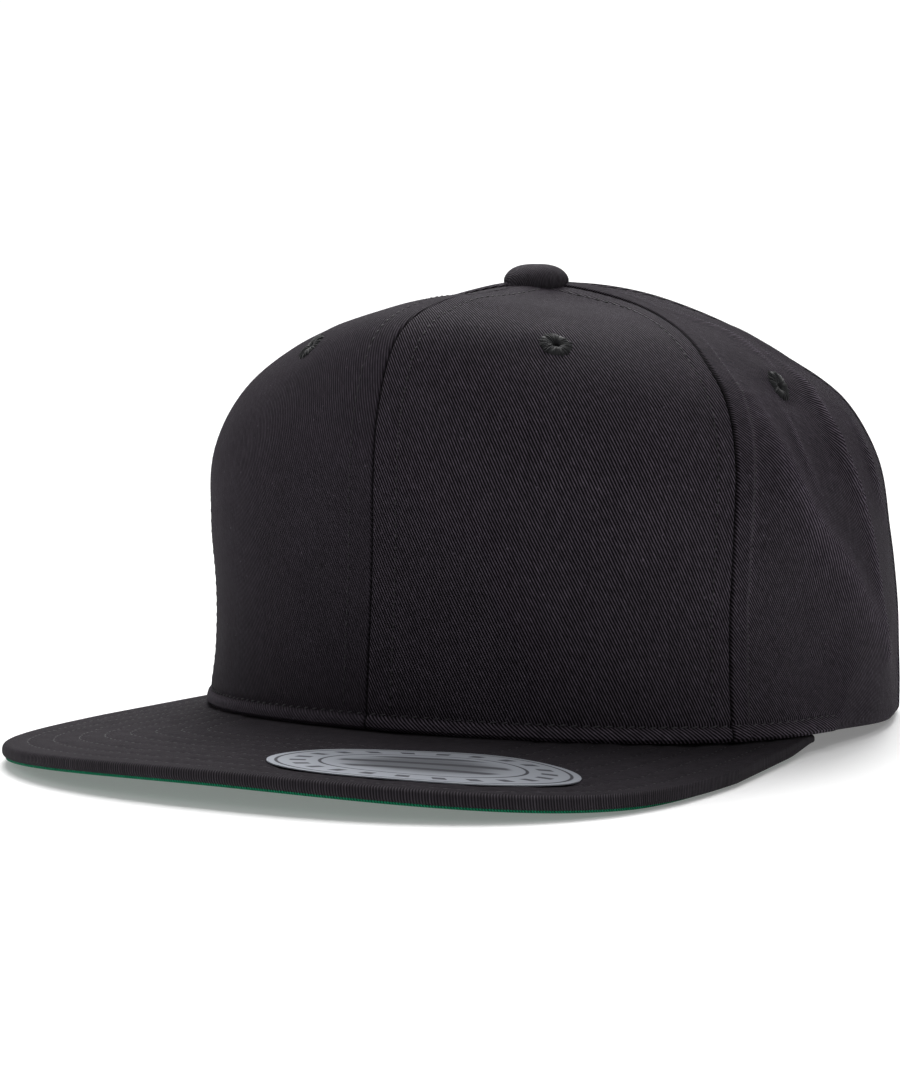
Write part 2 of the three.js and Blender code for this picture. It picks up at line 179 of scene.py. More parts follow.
class CapCrownSizes(bpy.types.PropertyGroup):
    half_width: length("Half width", "Half the rim's width", 87 * MM)
    front: length("Front reach", "From the middle of the head to the rim in front", 97.5 * MM)
    back: length("Back reach", "From the middle of the head to the rim behind", 105.5 * MM)
    height: length("Height", "Top of the crown above the resting surface", 114.5 * MM)
    top_forward: length("Top forward", "How far the button sits ahead of the middle", 10.8 * MM)
    front_cloth: length("Front cloth", "Thickness of the backed front panels", 2 * MM)
    side_cloth: length("Side cloth", "Thickness of the soft panels", 1.4 * MM)
    top_hole: length("Top hole", "Radius left open under the button", 5 * MM)
    seam_overlap: length("Seam overlap", "How far two panels' edges press into each other", 0.15 * MM)
    seam_depth: length("Seam depth", "How far the cloth dips into a seam", 0.5 * MM)
    seam_width: length("Seam width", "How wide the dip is to each side", 0.32 * MM)
    front_allowance: length("Front allowance", "From the front seam to its topstitching", 6.6 * MM)
    side_allowance: length("Side allowance", "From the other seams to their topstitching", 5.5 * MM)
    allowance_puff: length("Allowance puff", "How proud the doubled cloth stands", 0.38 * MM)
    allowance_edge: length("Allowance edge", "How wide the doubled cloth's edge is", 0.7 * MM)
    roll_inset: length("Roll inset", "From the topstitching back to the ridge beside it", 1.1 * MM)
    channel_depth: length("Channel depth", "How far topstitching pulls flat cloth in", 0.05 * MM)
    channel_width: length("Channel width", "How wide the pulled line is to each side", 0.5 * MM)
    softness: length("Softness", "Height of the soft cloth's slow waves", 0.4 * MM)
    slow_wave: length("Slow wave", "Size of the cloth's slow waves", 42 * MM)
    quick_wave: length("Quick wave", "Size of its quick waves", 14 * MM)
    hem: length("Hem", "From the rim to its row of stitches", 3.9 * MM)
    piping_height: length("Piping height", "How proud the piping stands", 0.85 * MM)
    piping_tuck: length("Piping tuck", "How far its lower edge turns in", 0.2 * MM)
    hem_channel: length("Hem channel", "How far the stitches above it pull in", 0.6 * MM)
    turned_edge: length("Turned edge", "Height over which the plain rim turns in", 2.4 * MM)
    turned_depth: length("Turned depth", "How far it turns in", 1.3 * MM)
    piping_end: number("Piping end", "Degrees from the front to where the piping ends", 84.5)
    fold_height: length("Fold height", "Height of the side panels' folds", 3.6 * MM)
    fold_width: length("Fold width", "Width of the side panels' folds", 6.5 * MM)
    # Share of a fold's width that the painted highlight on its crest covers
    highlight_share: number("Worn share", "Worn share of a fold's width", 0.4)
    arch_half_width: length("Arch half width", "Half the opening behind", 46 * MM)
    arch_height: length("Arch height", "Height of the opening behind", 48 * MM)
    arch_hem: length("Arch hem", "From the opening's edge to its inner stitches", 7 * MM)
    arch_row: length("Arch row", "From the opening's edge to its outer stitches", 1.8 * MM)
    arch_puff: length("Arch puff", "How proud the opening's binding stands", 0.5 * MM)
    inside_gap: length("Inside gap", "Clearance between the panels and what lies inside them", 0.5 * MM)
    stitch: length("Stitch", "Length of one stitch", 2.1 * MM)
    stitch_pitch: length("Stitch pitch", "From one stitch to the next", 2.7 * MM)
    thread: length("Thread", "Thickness of the sewing thread", 0.42 * MM)
    thread_lift: length("Thread lift", "How far a stitch's middle lies above the cloth", 0.12 * MM)
    rim_lift: length("Rim lift", "The same along the rim", 0.4 * MM)
    rim_slant: number("Rim slant", "How much the rim's stitches slant, as a slope", 0.22)


class CapPeakSizes(bpy.types.PropertyGroup):
    half_width: length("Half width", "Half the peak's width", 90.7 * MM)
    reach: length("Reach", "From the middle of the head to the peak's front edge", 164 * MM)
    side_reach: length("Side reach", "Where the straight sides end", 79 * MM)
    front_height: length("Front height", "Height of the middle of the peak", 8.7 * MM)
    droop: length("Droop", "How much lower its sides are", 4.8 * MM)
    cover: length("Cover", "Thickness of the board in its black cloth", 2.5 * MM)
    underside: length("Underside", "Thickness of the green cloth", 0.9 * MM)
    gap: length("Gap", "Clearance between neighbouring pieces", 0.3 * MM)
    edge_round: length("Edge round", "Radius over which the cloth turns down", 1.5 * MM)
    wrap: length("Wrap", "How far the black cloth reaches below the board", 0.6 * MM)
    underside_inset: length("Underside inset", "How far the green cloth stays inside the edge", 0.9 * MM)
    underside_round: length("Underside round", "Radius of its edge", 0.4 * MM)
    row_pitch: length("Row pitch", "From one row of stitches to the next", 6.2 * MM)
    rows: count("Rows", "Rows of stitches along the peak", 8)
    stitch_pitch: length("Stitch pitch", "From one stitch to the next", 3 * MM)
    channel: length("Channel", "How deep a row of stitches pulls the cloth in", 0.34 * MM)
    pucker: length("Pucker", "Height of the short waves in its cloth", 0.08 * MM)
    pucker_size: length("Pucker size", "Size of the short waves", 9 * MM)
    wave: length("Wave", "Height of the long waves", 0.16 * MM)
    wave_size: length("Wave size", "Size of the long waves", 38 * MM)
    end_azimuth: angle("End", "Azimuth at which the peak meets the crown's rim", 77)
    level_azimuth: angle("Level", "Azimuth from which the rim lies on the surface", 125)


class CapTrimSizes(bpy.types.PropertyGroup):
    button_radius: length("Button radius", "Radius of the top button", 8.3 * MM)
    button_height: length("Button height", "Height of the button above the crown", 5.4 * MM)
    button_dome: length("Button dome", "Height of its domed part", 4.1 * MM)
    button_foot: length("Button foot", "How far its cloth goes down into the panels", 1.4 * MM)
    button_pleats: count("Button pleats", "Small pleats round its edge", 22)
    button_pleat: length("Button pleat", "Height of a pleat", 0.16 * MM)
    eyelet_radius: length("Eyelet radius", "Radius of a sewn eyelet", 4.5 * MM)
    eyelet_bore: length("Eyelet bore", "Radius of its hole", 0.75 * MM)
    eyelet_threads: count("Eyelet threads", "Radial threads in an eyelet", 42)
    eyelet_thread: length("Eyelet thread", "Radius of one of those threads", 0.21 * MM)
    eyelet_cut: length("Eyelet cut", "Radius of the hole in the cloth", 2.3 * MM)
    eyelet_dimple: length("Eyelet dimple", "How far an eyelet pulls the cloth in", 0.45 * MM)
    label_half_length: length("Label half length", "Half the sticker's length", 36 * MM)
    label_half_width: length("Label half width", "Half the sticker's width", 19.4 * MM)
    label_thickness: length("Label thickness", "Thickness of the sticker", 0.25 * MM)
    label_lift: length("Label lift", "Top of the sticker above the peak", 0.42 * MM)
    label_aside: length("Label aside", "Sticker's middle from the centre line", 37 * MM)
    label_forward: length("Label forward", "Sticker's middle ahead of the head's middle", 131 * MM)
    label_turn: angle("Label turn", "Turn of the sticker", 21)
    band_height: length("Band height", "Height of the sweatband", 30 * MM)
    band_thickness: length("Band thickness", "Thickness of the sweatband", 1 * MM)
    band_lift: length("Band lift", "Its lower edge above the rim", 1.2 * MM)
    band_end: number("Band end", "Degrees from the front to where the sweatband ends", 138)
    strap_height: length("Strap height", "Height of the snap strap", 19 * MM)
    strap_thickness: length("Strap thickness", "Thickness of the snap strap", 1.2 * MM)
    strap_lift: length("Strap lift", "Its lower edge above the rim", 1 * MM)
    strap_tuck: length("Strap tuck", "How far it goes on behind the panel", 12 * MM)
    strap_margin: length("Strap margin", "From its last snap to its end", 6 * MM)
    strap_round: length("Strap round", "Rounding of its edges", 0.22 * MM)
    snap_pitch: length("Snap pitch", "From one snap to the next", 9 * MM)
    snap_radius: length("Snap radius", "Radius of a snap's hole", 2.7 * MM)
    snap_clearance: length("Snap clearance", "Gap between a peg and its hole", 0.4 * MM)
    snap_proud: length("Snap proud", "How far a peg's head stands out of its hole", 1 * MM)
    snaps: count("Snaps", "Snaps on each strap", 7)
    snaps_joined: count("Snaps joined", "Snaps that are pressed together", 4)


class CapColours(bpy.types.PropertyGroup):
    twill: colour("Twill", "Black cotton twill", (0.0218, 0.0182, 0.0232))
    thread: colour("Thread", "Black sewing thread", (0.0230, 0.0212, 0.0242))
    button: colour("Button", "Black twill of the button", (0.040, 0.0355, 0.0415))
    eyelet: colour("Eyelet", "Sewing thread of the eyelets", (0.0088, 0.0090, 0.0100))
    rim_thread: colour("Rim thread", "Sewing thread along the rim", (0.045, 0.042, 0.048))
    peak: colour("Peak", "Black twill of the peak", (0.0200, 0.0175, 0.0208))
    peak_thread: colour("Peak thread", "Sewing thread of the peak", (0.0255, 0.0228, 0.0262))
    underside: colour("Underside", "Green cloth under the peak", (0.006, 0.100, 0.050))
    foil: colour("Foil", "Silver paper", (0.35, 0.37, 0.41))
    print_ink: colour("Ink", "Dark ink on the sticker", (0.035, 0.035, 0.045))
    plastic: colour("Plastic", "Black plastic", (0.012, 0.012, 0.013))
    floor: colour("Floor", "Plain pale floor", (0.86, 0.86, 0.86))


class CapStageSizes(bpy.types.PropertyGroup):
    azimuth: angle("Azimuth", "Camera's place round the cap, from the front to the left", 28.393)
    elevation: angle("Elevation", "Camera's height above the horizon", 5.045)
    distance: length("Distance", "From the camera to the middle of the crown", 893.9 * MM)
    target_height: length("Target height", "Height of the middle of the crown", 51.65 * MM)
    aim_aside: length("Aim aside", "How far the camera aims to the left of that point", 27.8 * MM)
    aim_down: length("Aim down", "How far it aims below that point", 4.6 * MM)
    floor_size: length("Floor size", "Width of the floor", 40.0)
    floor_roughness: number("Floor roughness", "How matt the floor is", 0.9)
    floor_glow: number("Floor glow", "How much light the floor gives off", 0.2)
    lens: number("Lens", "Focal length in millimetres", 112.87)
    film: number("Film", "Width of the picture's film in millimetres", 36)
    room_light: number("Room light", "Strength of the even light on the cap", 0.13)
    backdrop: number("Backdrop", "Brightness of the backdrop in the picture", 1.05)


def crown_sizes():
    return bpy.context.scene.cap_crown


def peak_sizes():
    return bpy.context.scene.cap_peak


def trim_sizes():
    return bpy.context.scene.cap_trim


def colours():
    return bpy.context.scene.cap_colours


# Curves and surfaces


def sine(degrees):
    return np.sin(np.radians(degrees))


def cosine(degrees):
    return np.cos(np.radians(degrees))


def ease(value, low, high):
    """A smooth step from 0 at low to 1 at high."""
    share = np.clip((value - low) / (high - low), 0, 1)
    return share * share * (3 - 2 * share)


def ridge(distance, width):
    """A rounded ridge, 1 at distance 0 and nearly nothing past two widths."""
    return np.exp(-((distance / width) ** 2))


def table_curve(table, places):
    """A table's columns at any places: each row's slope is the mean of the slopes beside it."""
    rows = np.array(table, float)
    knots, values = rows[:, 0], rows[:, 1:]
    spans = np.diff(knots)[:, None]
    rises = np.diff(values, axis=0) / spans
    slopes = np.vstack([rises[:1], (rises[:-1] + rises[1:]) / 2, rises[-1:] / 2])
    places = np.asarray(places, float)
    lower = np.clip(np.searchsorted(knots, places, side="right") - 1, 0, len(knots) - 2)
    span = spans[lower]
    share = (places - knots[lower])[..., None] / span
    square, cube = share**2, share**3
    return (
        (2 * cube - 3 * square + 1) * values[lower]
        + (cube - 2 * square + share) * span * slopes[lower]
        + (3 * square - 2 * cube) * values[lower + 1]
        + (cube - square) * span * slopes[lower + 1]
    )


def crown_share(azimuth, climb):
    turn = np.abs((azimuth + 180) % 360 - 180)
    away = np.clip(np.abs(turn[..., None] - PROFILE_AZIMUTHS) / PROFILE_AZIMUTHS[1], 0, 1)
    return (table_curve(CROWN_PROFILE, climb) * (1 + np.cos(np.pi * away)) / 2).sum(-1)


def head_middle():
    """How far behind the origin the middle of the head lies, by the button's place in the frame."""
    low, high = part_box("top_button")
    return (low.y + high.y) / 2 + crown_sizes().top_forward


def peak_top(x):
    peak = peak_sizes()
    return peak.front_height - peak.droop * (x / peak.half_width) ** 2


def rim_height(azimuth):
    """The rim stands on the peak in front, and comes down to the resting surface behind it."""
    peak = peak_sizes()
    x = crown_sizes().half_width * sine(azimuth) * crown_share(azimuth, np.zeros_like(azimuth))
    on_peak = ease(cosine(azimuth), math.cos(peak.level_azimuth), math.cos(peak.end_azimuth))
    return on_peak * (peak_top(x) + peak.gap)


def crown_point(azimuth, climb):
    azimuth, climb = np.broadcast_arrays(np.asarray(azimuth, float), np.asarray(climb, float))
    crown = crown_sizes()
    share = crown_share(azimuth, climb)
    across = share * cosine(climb)
    up = share * sine(climb)
    reach = np.where(cosine(azimuth) > 0, crown.front, crown.back)
    rim = rim_height(azimuth)
    return np.stack(
        [
            crown.half_width * sine(azimuth) * across,
            head_middle() - reach * cosine(azimuth) * across - crown.top_forward * np.clip(up, 0, 1) ** 2,
            rim + (crown.height - rim) * up,
        ],
        -1,
    )


def unit(vectors):
    return vectors / np.maximum(np.linalg.norm(vectors, axis=-1, keepdims=True), 1e-12)


def crown_normal(azimuth, climb):
    azimuth, climb = np.broadcast_arrays(np.asarray(azimuth, float), np.asarray(climb, float))
    reach = 0.5
    sideways = crown_point(azimuth + reach, climb) - crown_point(azimuth - reach, climb)
    low, high = np.maximum(climb - reach, 0), np.minimum(climb + reach, 89.5)
    return unit(np.cross(sideways, crown_point(azimuth, high) - crown_point(azimuth, low)))


def wall_point(azimuth, climb, depth):
    """A point at a depth inside the crown's surface; at the rim it stays level with the edge."""
    normal = crown_normal(azimuth, climb)
    at_rim = np.broadcast_to(np.asarray(climb) == 0, normal.shape[:-1])
    normal = normal.copy()
    normal[..., 2] = np.where(at_rim, 0, normal[..., 2])
    return crown_point(azimuth, climb) + unit(normal) * -np.asarray(depth)[..., None]


def per_degree(azimuth, climb):
    """Length round the crown of one degree of azimuth."""
    step = crown_point(azimuth + 0.5, climb) - crown_point(azimuth - 0.5, climb)
    return np.linalg.norm(step, axis=-1)


def climb_lengths(azimuth):
    """A table of the way up the crown at an azimuth: climbs, and lengths from the rim."""
    climbs = np.linspace(0, 90, 181)
    steps = np.linalg.norm(np.diff(crown_point(azimuth, climbs), axis=0), axis=-1)
    return climbs, np.concatenate([[0], np.cumsum(steps)])


def waves(points, size, seed):
    """Slow, irregular waves between about -1 and 1, of about a size in metres."""
    random = np.random.default_rng(seed)
    total = np.zeros(points.shape[:-1])
    parts = 7
    for _ in range(parts):
        direction = unit(random.normal(size=3))
        pitch = size * random.uniform(0.7, 1.8)
        total += np.sin(points @ direction * math.tau / pitch + random.uniform(0, math.tau))
    return total / math.sqrt(parts)


def smooth_line(points, steps):
    """Points along a smooth curve through the given ones."""
    points = np.array(points, float)
    padded = np.vstack([2 * points[0] - points[1], points, 2 * points[-1] - points[-2]])
    places = np.linspace(0, len(points) - 1, steps)
    start = np.minimum(places.astype(int), len(points) - 2)
    t = (places - start)[:, None]
    a, b, c, d = (padded[start + offset] for offset in range(4))
    return 0.5 * (2 * b + (c - a) * t + (2 * a - 5 * b + 4 * c - d) * t**2 + (3 * b - a - 3 * c + d) * t**3)


def fold_relief(azimuth, climb):
    """How far the folds lift the cloth, and how much painted highlight lies along their crests; both halves
    have the same folds.
    """
    crown = crown_sizes()
    places = crown_point(np.abs(azimuth), climb).reshape(-1, 3)
    rise, wear = np.zeros(len(places)), np.zeros(len(places))
    steps = 90
    end_share = 0.25
    for fold in FOLDS:
        line = smooth_line(crown_point(*np.array(fold.crest, float).T), steps)
        distances = np.linalg.norm(places[:, None] - line[None], axis=-1)
        along = distances.argmin(1) / (steps - 1)
        middle = np.sin(np.pi * np.clip(along, 0.03, 0.97)) ** 0.7
        fade = end_share + (1 - end_share) * middle
        away = distances.min(1) / (fold.width * crown.fold_width)
        rise += fold.height * crown.fold_height * fade * np.exp(-(away**fold.sharpness))
        # Painted highlight along each fold's crest
        wear = np.maximum(wear, fold.wear * fade * ridge(away, crown.highlight_share))
    return rise.reshape(azimuth.shape), wear.reshape(azimuth.shape)


# Panels


def seam_azimuths(climb):
    return np.moveaxis(table_curve(SEAMS, climb), -1, 0)


def panel_edges(kind, climb):
    """Azimuths of a left panel's two seams at each climb."""
    side, rear = seam_azimuths(climb)
    return {
        "front": (np.zeros_like(side), side),
        "side": (side, rear),
        "back": (rear, np.full_like(rear, 180.0)),
    }[kind]


def arch_distance(points):
    """Distance outside the arch's edge, near that edge."""
    crown = crown_sizes()
    x, z = points[..., 0], points[..., 2]
    beyond = (x / crown.arch_half_width) ** 2 + (z / crown.arch_height) ** 2 - 1
    slope = 2 * np.hypot(x / crown.arch_half_width**2, z / crown.arch_height**2)
    return beyond / np.maximum(slope, 1e-6)


def seam_relief(distance, allowance, puff):
    """Height of the cloth beside a seam: a groove, the doubled cloth, and the stitched channel."""
    crown = crown_sizes()
    groove = -crown.seam_depth * ridge(distance, crown.seam_width)
    edge = crown.allowance_edge
    doubled = puff * (1 - ease(distance, allowance - 1.3 * edge, allowance + edge))
    doubled += 0.5 * puff * np.sin(np.pi * np.clip(distance / allowance, 0, 1))
    doubled += 0.5 * puff * ridge(distance - allowance + crown.roll_inset, edge)
    channel = -(crown.channel_depth + 0.4 * puff) * ridge(distance - allowance, crown.channel_width)
    return groove + doubled + channel


def hem_piping(azimuth):
    """1 where the rim is piped, in front, and 0 where its edge is only turned in."""
    end = crown_sizes().piping_end
    fade = 3
    return 1 - ease(np.abs(azimuth), end - fade, end)


def above_rim(azimuth, climb):
    return crown_point(azimuth, climb)[..., 2] - rim_height(azimuth)


def beside_seams(kind, azimuth, climb):
    """Lengths of cloth from a panel's front seam and to its rear one."""
    start, end = panel_edges(kind, climb)
    degree = per_degree(azimuth, climb)
    return np.maximum(azimuth - start, 0) * degree, np.maximum(end - azimuth, 0) * degree


def rim_relief(azimuth, height):
    """The piping in front and the stitches above it, or the plain rim's turned edge."""
    crown = crown_sizes()
    piped = hem_piping(azimuth)
    bulge = np.sin(np.pi * np.clip(height / crown.hem, 0, 1) ** 0.6) ** 0.7
    piping = crown.piping_height * bulge - crown.piping_tuck * (1 - ease(height, 0, 0.8 * MM))
    piping -= crown.hem_channel * ridge(height - crown.hem, crown.channel_width)
    turned = -crown.turned_depth * (1 - np.clip(height / crown.turned_edge, 0, 1)) ** 2
    return piped * piping + (1 - piped) * turned


def arch_relief(points):
    """The bound edge of the opening behind, with its two rows of stitches."""
    crown = crown_sizes()
    edge = arch_distance(points)
    bound = ease(edge, 0, 1.2 * MM) * (1 - ease(edge, crown.arch_hem - MM, crown.arch_hem + MM))
    turned = 0.8 * ridge(edge, 0.8 * MM)
    rows = 0.6 * ridge(edge - crown.arch_hem, 0.6 * MM) + 0.6 * ridge(edge - crown.arch_row, 0.45 * MM)
    return crown.arch_puff * (bound - turned - rows)


def eyelet_relief(kind, points):
    """The dimple and the tipped facet round each eyelet."""
    dimple, facet = 5 * MM, 6.5 * MM
    relief = np.zeros(points.shape[:-1])
    for azimuth, climb in EYELETS.values():
        if azimuth > 0 or kind == "front":
            centre = crown_point(abs(azimuth), climb)
            away = np.linalg.norm(points - centre, axis=-1)
            relief -= trim_sizes().eyelet_dimple * ridge(away, dimple)
            relief += PANELS[kind].facet * (points[..., 2] - centre[2]) * ridge(away, facet)
    return relief


def panel_relief(kind, azimuth, climb):
    """How far the cloth stands off the crown's smooth surface, for azimuths on the left half."""
    crown = crown_sizes()
    cloth = PANELS[kind]
    points = crown_point(azimuth, climb)
    allowances = {
        "front": (crown.front_allowance, crown.side_allowance),
        "side": (crown.side_allowance, crown.side_allowance),
        "back": (crown.side_allowance, crown.front_allowance),
    }[kind]
    from_start, from_end = beside_seams(kind, azimuth, climb)
    relief = np.where(
        from_start < from_end,
        seam_relief(from_start, allowances[0], crown.allowance_puff * cloth.puffs[0]),
        seam_relief(from_end, allowances[1], crown.allowance_puff * cloth.puffs[1]),
    )
    height = above_rim(azimuth, climb)
    if kind == "back":
        relief += arch_relief(points)
    relief += rim_relief(azimuth, height)
    softness = cloth.softness * crown.softness
    firm, free = 4 * MM, 14 * MM
    open_cloth = ease(np.minimum(from_start, from_end), firm, free) * ease(height, firm, free + MM)
    relief += softness * open_cloth * waves(points, crown.slow_wave, seed=5)
    relief += 0.25 * softness * waves(points, crown.quick_wave, seed=8) * (0.4 + 0.6 * open_cloth)
    if kind == "side":
        unfolded = 7 * MM
        away = np.linalg.norm(points - crown_point(*EYELETS["eyelet_side_left"]), axis=-1)
        relief += fold_relief(azimuth, climb)[0] * (1 - ridge(away, unfolded))
    return relief + eyelet_relief(kind, points)


def panel_point(kind, azimuth, climb, lift=0.0):
    """A place on a panel's outside; the azimuth's sign says which half it is on."""
    hand = np.where(azimuth < 0, -1.0, 1.0)
    azimuth = np.abs(azimuth)
    relief = panel_relief(kind, azimuth, climb) + lift
    points = wall_point(azimuth, climb, -relief)
    points[..., 0] *= hand
    return points


def arch_place(turn):
    """Azimuth and climb of a place on the arch's edge, at a turn in degrees from its foot to its top."""
    crown = crown_sizes()
    x, z = crown.arch_half_width * cosine(turn), crown.arch_height * sine(turn)
    climb, azimuth = np.zeros_like(turn), np.full_like(turn, 150.0)
    for _ in range(12):
        share = crown_share(azimuth, climb)
        climb = np.degrees(np.arcsin(np.clip(z / crown.height / share, 0, 1)))
        azimuth = 180 - np.degrees(np.arcsin(np.clip(x / crown.half_width / share / cosine(climb), -1, 1)))
    return azimuth, climb


def back_edge(share):
    """The back panel's inner side, from the arch's foot over its edge and up the middle seam."""
    arch_steps, seam_steps = 60, 60
    azimuth, climb = arch_place(np.linspace(0, 90, arch_steps))
    up = np.linspace(climb[-1], top_climb(), seam_steps)[1:]
    azimuth = np.concatenate([azimuth, np.full(seam_steps - 1, 180.0)])
    climb = np.concatenate([climb, up])
    points = crown_point(azimuth, climb)
    way = np.concatenate([[0], np.cumsum(np.linalg.norm(np.diff(points, axis=0), axis=-1))])
    return np.interp(share * way[-1], way, azimuth), np.interp(share * way[-1], way, climb)


def top_climb():
    crown = crown_sizes()
    return math.degrees(math.acos(crown.top_hole / crown.half_width))


def crowded(share):
    """A share from 0 to 1 whose steps are shorter near both ends."""
    return share - 0.12 * np.sin(math.tau * share)


def panel_places(kind, u, v):
    """Azimuth and climb of a panel's grid; u runs from its front seam to its rear one, v upwards."""
    crown = crown_sizes()
    climb = top_climb() * (0.75 * v + 0.25 * v**2)
    across = crowded(u)
    start, end = panel_edges(kind, climb)
    if kind != "back":
        margin = -crown.seam_overlap / per_degree((start + end) / 2, climb)
        return start + margin + (end - start - 2 * margin) * across, climb
    inner_azimuth, inner_climb = back_edge(v)
    azimuth = start + (inner_azimuth - start) * across
    climb = climb + (inner_climb - climb) * across
    start, end = panel_edges(kind, climb)
    margin = -crown.seam_overlap / per_degree(azimuth, climb)
    return np.clip(azimuth, start + margin, end - margin), climb


# Meshes


def select_only(piece):
    bpy.ops.object.select_all(action="DESELECT")
    piece.select_set(True)
    bpy.context.view_layer.objects.active = piece


def edit(piece, *steps):
    """Runs edit-mode steps on the whole of a piece."""
    select_only(piece)
    bpy.ops.object.mode_set(mode="EDIT")
    bpy.ops.mesh.select_all(action="SELECT")
    for step in steps:
        step()
    bpy.ops.object.mode_set(mode="OBJECT")


def named(name):
    piece = bpy.context.object
    piece.name = name
    piece.data.name = name
    return piece


def grid(name, columns, rows):
    """A flat grid to be drawn into shape, with each vertex's share across and up."""
    bpy.ops.object.select_all(action="DESELECT")
    bpy.ops.mesh.primitive_grid_add(x_subdivisions=columns, y_subdivisions=rows, size=2, calc_uvs=False)
    piece = named(name)
    shares = (vertex_places(piece) + 1) / 2
    return piece, shares[:, 0], shares[:, 1]


def vertex_places(piece):
    places = np.zeros(3 * len(piece.data.vertices), np.float32)
    piece.data.vertices.foreach_get("co", places)
    return places.reshape(-1, 3).astype(float)


def place_vertices(piece, places):
    piece.data.vertices.foreach_set("co", np.asarray(places, np.float32).ravel())
    piece.data.update()


def corner_vertices(piece):
    """The vertex at each corner of each face."""
    corners = np.zeros(len(piece.data.loops), np.int32)
    piece.data.loops.foreach_get("vertex_index", corners)
    return corners


def set_weave(piece, across, along, turned=None):
    """Gives a mesh the UV map that its weave follows, in metres of cloth.

    Turned holds a mask, and the places of the cloth that is cut the other way where the mask is true.
    """
    layer = piece.data.uv_layers.new(name="weave")
    corners = corner_vertices(piece)
    places = np.stack([across, along], -1)[corners]
    if turned:
        mask, across, along = turned
        starts = np.zeros(len(piece.data.polygons), np.int32)
        piece.data.polygons.foreach_get("loop_start", starts)
        sizes = np.diff(np.append(starts, len(corners)))
        faces = np.repeat(np.logical_or.reduceat(mask[corners], starts), sizes)
        places = np.where(faces[:, None], np.stack([across, along], -1)[corners], places)
    layer.data.foreach_set("uv", places.astype(np.float32).ravel())


def set_painted_light(piece, wear, shade):
    """Keeps the painted highlights, and the painted shade in the seams' grooves, in a UV map of its own."""
    layer = piece.data.uv_layers.new(name="wear")
    places = np.stack([wear, shade], -1)[corner_vertices(piece)]
    layer.data.foreach_set("uv", places.astype(np.float32).ravel())


def flip_if_inward(piece, outward):
    """Turns the faces round where their normals run against the given directions."""
    piece.data.update()
    normals = np.zeros(3 * len(piece.data.vertices), np.float32)
    piece.data.vertices.foreach_get("normal", normals)
    if (normals.reshape(-1, 3) * outward).sum() < 0:
        piece.data.flip_normals()


def modify(piece, kind, **settings):
    """Adds a modifier and applies it."""
    select_only(piece)
    modifier = piece.modifiers.new(kind.title(), kind)
    for key, value in settings.items():
        setattr(modifier, key, value)
    bpy.ops.object.modifier_apply(modifier=modifier.name)


def thicken(piece, thickness):
    modify(piece, "SOLIDIFY", thickness=thickness, offset=-1, use_even_offset=False)


def smooth(piece, degrees=50):
    select_only(piece)
    bpy.ops.object.shade_smooth_by_angle(angle=math.radians(degrees))


def close_up(piece, distance=0.02 * MM):
    """Merges what meets, closes the open ends and turns the faces outwards."""
    edit(
        piece,
        lambda: bpy.ops.mesh.remove_doubles(threshold=distance),
        lambda: bpy.ops.mesh.select_all(action="DESELECT"),
        lambda: bpy.ops.mesh.select_non_manifold(extend=False),
        lambda: bpy.ops.mesh.edge_face_add(),
        lambda: bpy.ops.mesh.select_all(action="SELECT"),
        lambda: bpy.ops.mesh.normals_make_consistent(inside=False),
    )


def dress(piece, material, slot, *nodes):
    """Finishes a piece: its material, the body it rides on and what it stands for."""
    piece.data.materials.clear()
    piece.data.materials.append(material)
    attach(piece, "root")
    if nodes:
        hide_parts(*nodes)


def copies(name, model, origins, axes, scales):
    """One mesh of many copies of a small model; axes hold each copy's X, Y and Z as rows."""
    points = vertex_places(model)
    faces = [tuple(face.vertices) for face in model.data.polygons]
    placed = np.einsum("pk,nk,nkc->npc", points, scales, axes) + origins[:, None]
    firsts = range(0, len(origins) * len(points), len(points))
    every = [tuple(first + corner for corner in face) for first in firsts for face in faces]
    mesh = bpy.data.meshes.new(name)
    mesh.from_pydata(placed.reshape(-1, 3).tolist(), [], every)
    piece = bpy.data.objects.new(name, mesh)
    bpy.context.scene.collection.objects.link(piece)
    bpy.data.objects.remove(model)
    return piece


def join(name, pieces):
    bpy.ops.object.select_all(action="DESELECT")
    for piece in pieces:
        piece.select_set(True)
    bpy.context.view_layer.objects.active = pieces[0]
    bpy.ops.object.join()
    return named(name)


def even_steps(points, pitch):
    """Places at an even pitch along a line of points, with the direction there."""
    steps = np.linalg.norm(np.diff(points, axis=0), axis=-1)
    way = np.concatenate([[0], np.cumsum(steps)])
    places = max(int(way[-1] / pitch), 1)
    middles = (np.arange(places) + 0.5) * way[-1] / places
    ahead = np.stack([np.interp(middles + 0.3 * pitch, way, points[:, axis]) for axis in range(3)], -1)
    behind = np.stack([np.interp(middles - 0.3 * pitch, way, points[:, axis]) for axis in range(3)], -1)
    return (ahead + behind) / 2, unit(ahead - behind)


def stitch_model():
    """One stitch: a short rounded bar that lies along X and bows up in the middle."""
    crown = crown_sizes()
    bpy.ops.object.select_all(action="DESELECT")
    bpy.ops.mesh.primitive_uv_sphere_add(segments=6, ring_count=5, radius=0.5)
    stitch = named("stitch")
    edit(
        stitch,
        lambda: bpy.ops.transform.rotate(value=math.pi / 2, orient_axis="Y", center_override=(0, 0, 0)),
    )
    points = vertex_places(stitch)
    along = points[:, 0] * 2
    points[:, 1:] *= (1 - 0.15 * along**2)[:, None]
    places = points * [crown.stitch, crown.thread, 0.8 * crown.thread]
    places[:, 2] -= 0.5 * crown.thread * along**2
    place_vertices(stitch, places)
    return stitch


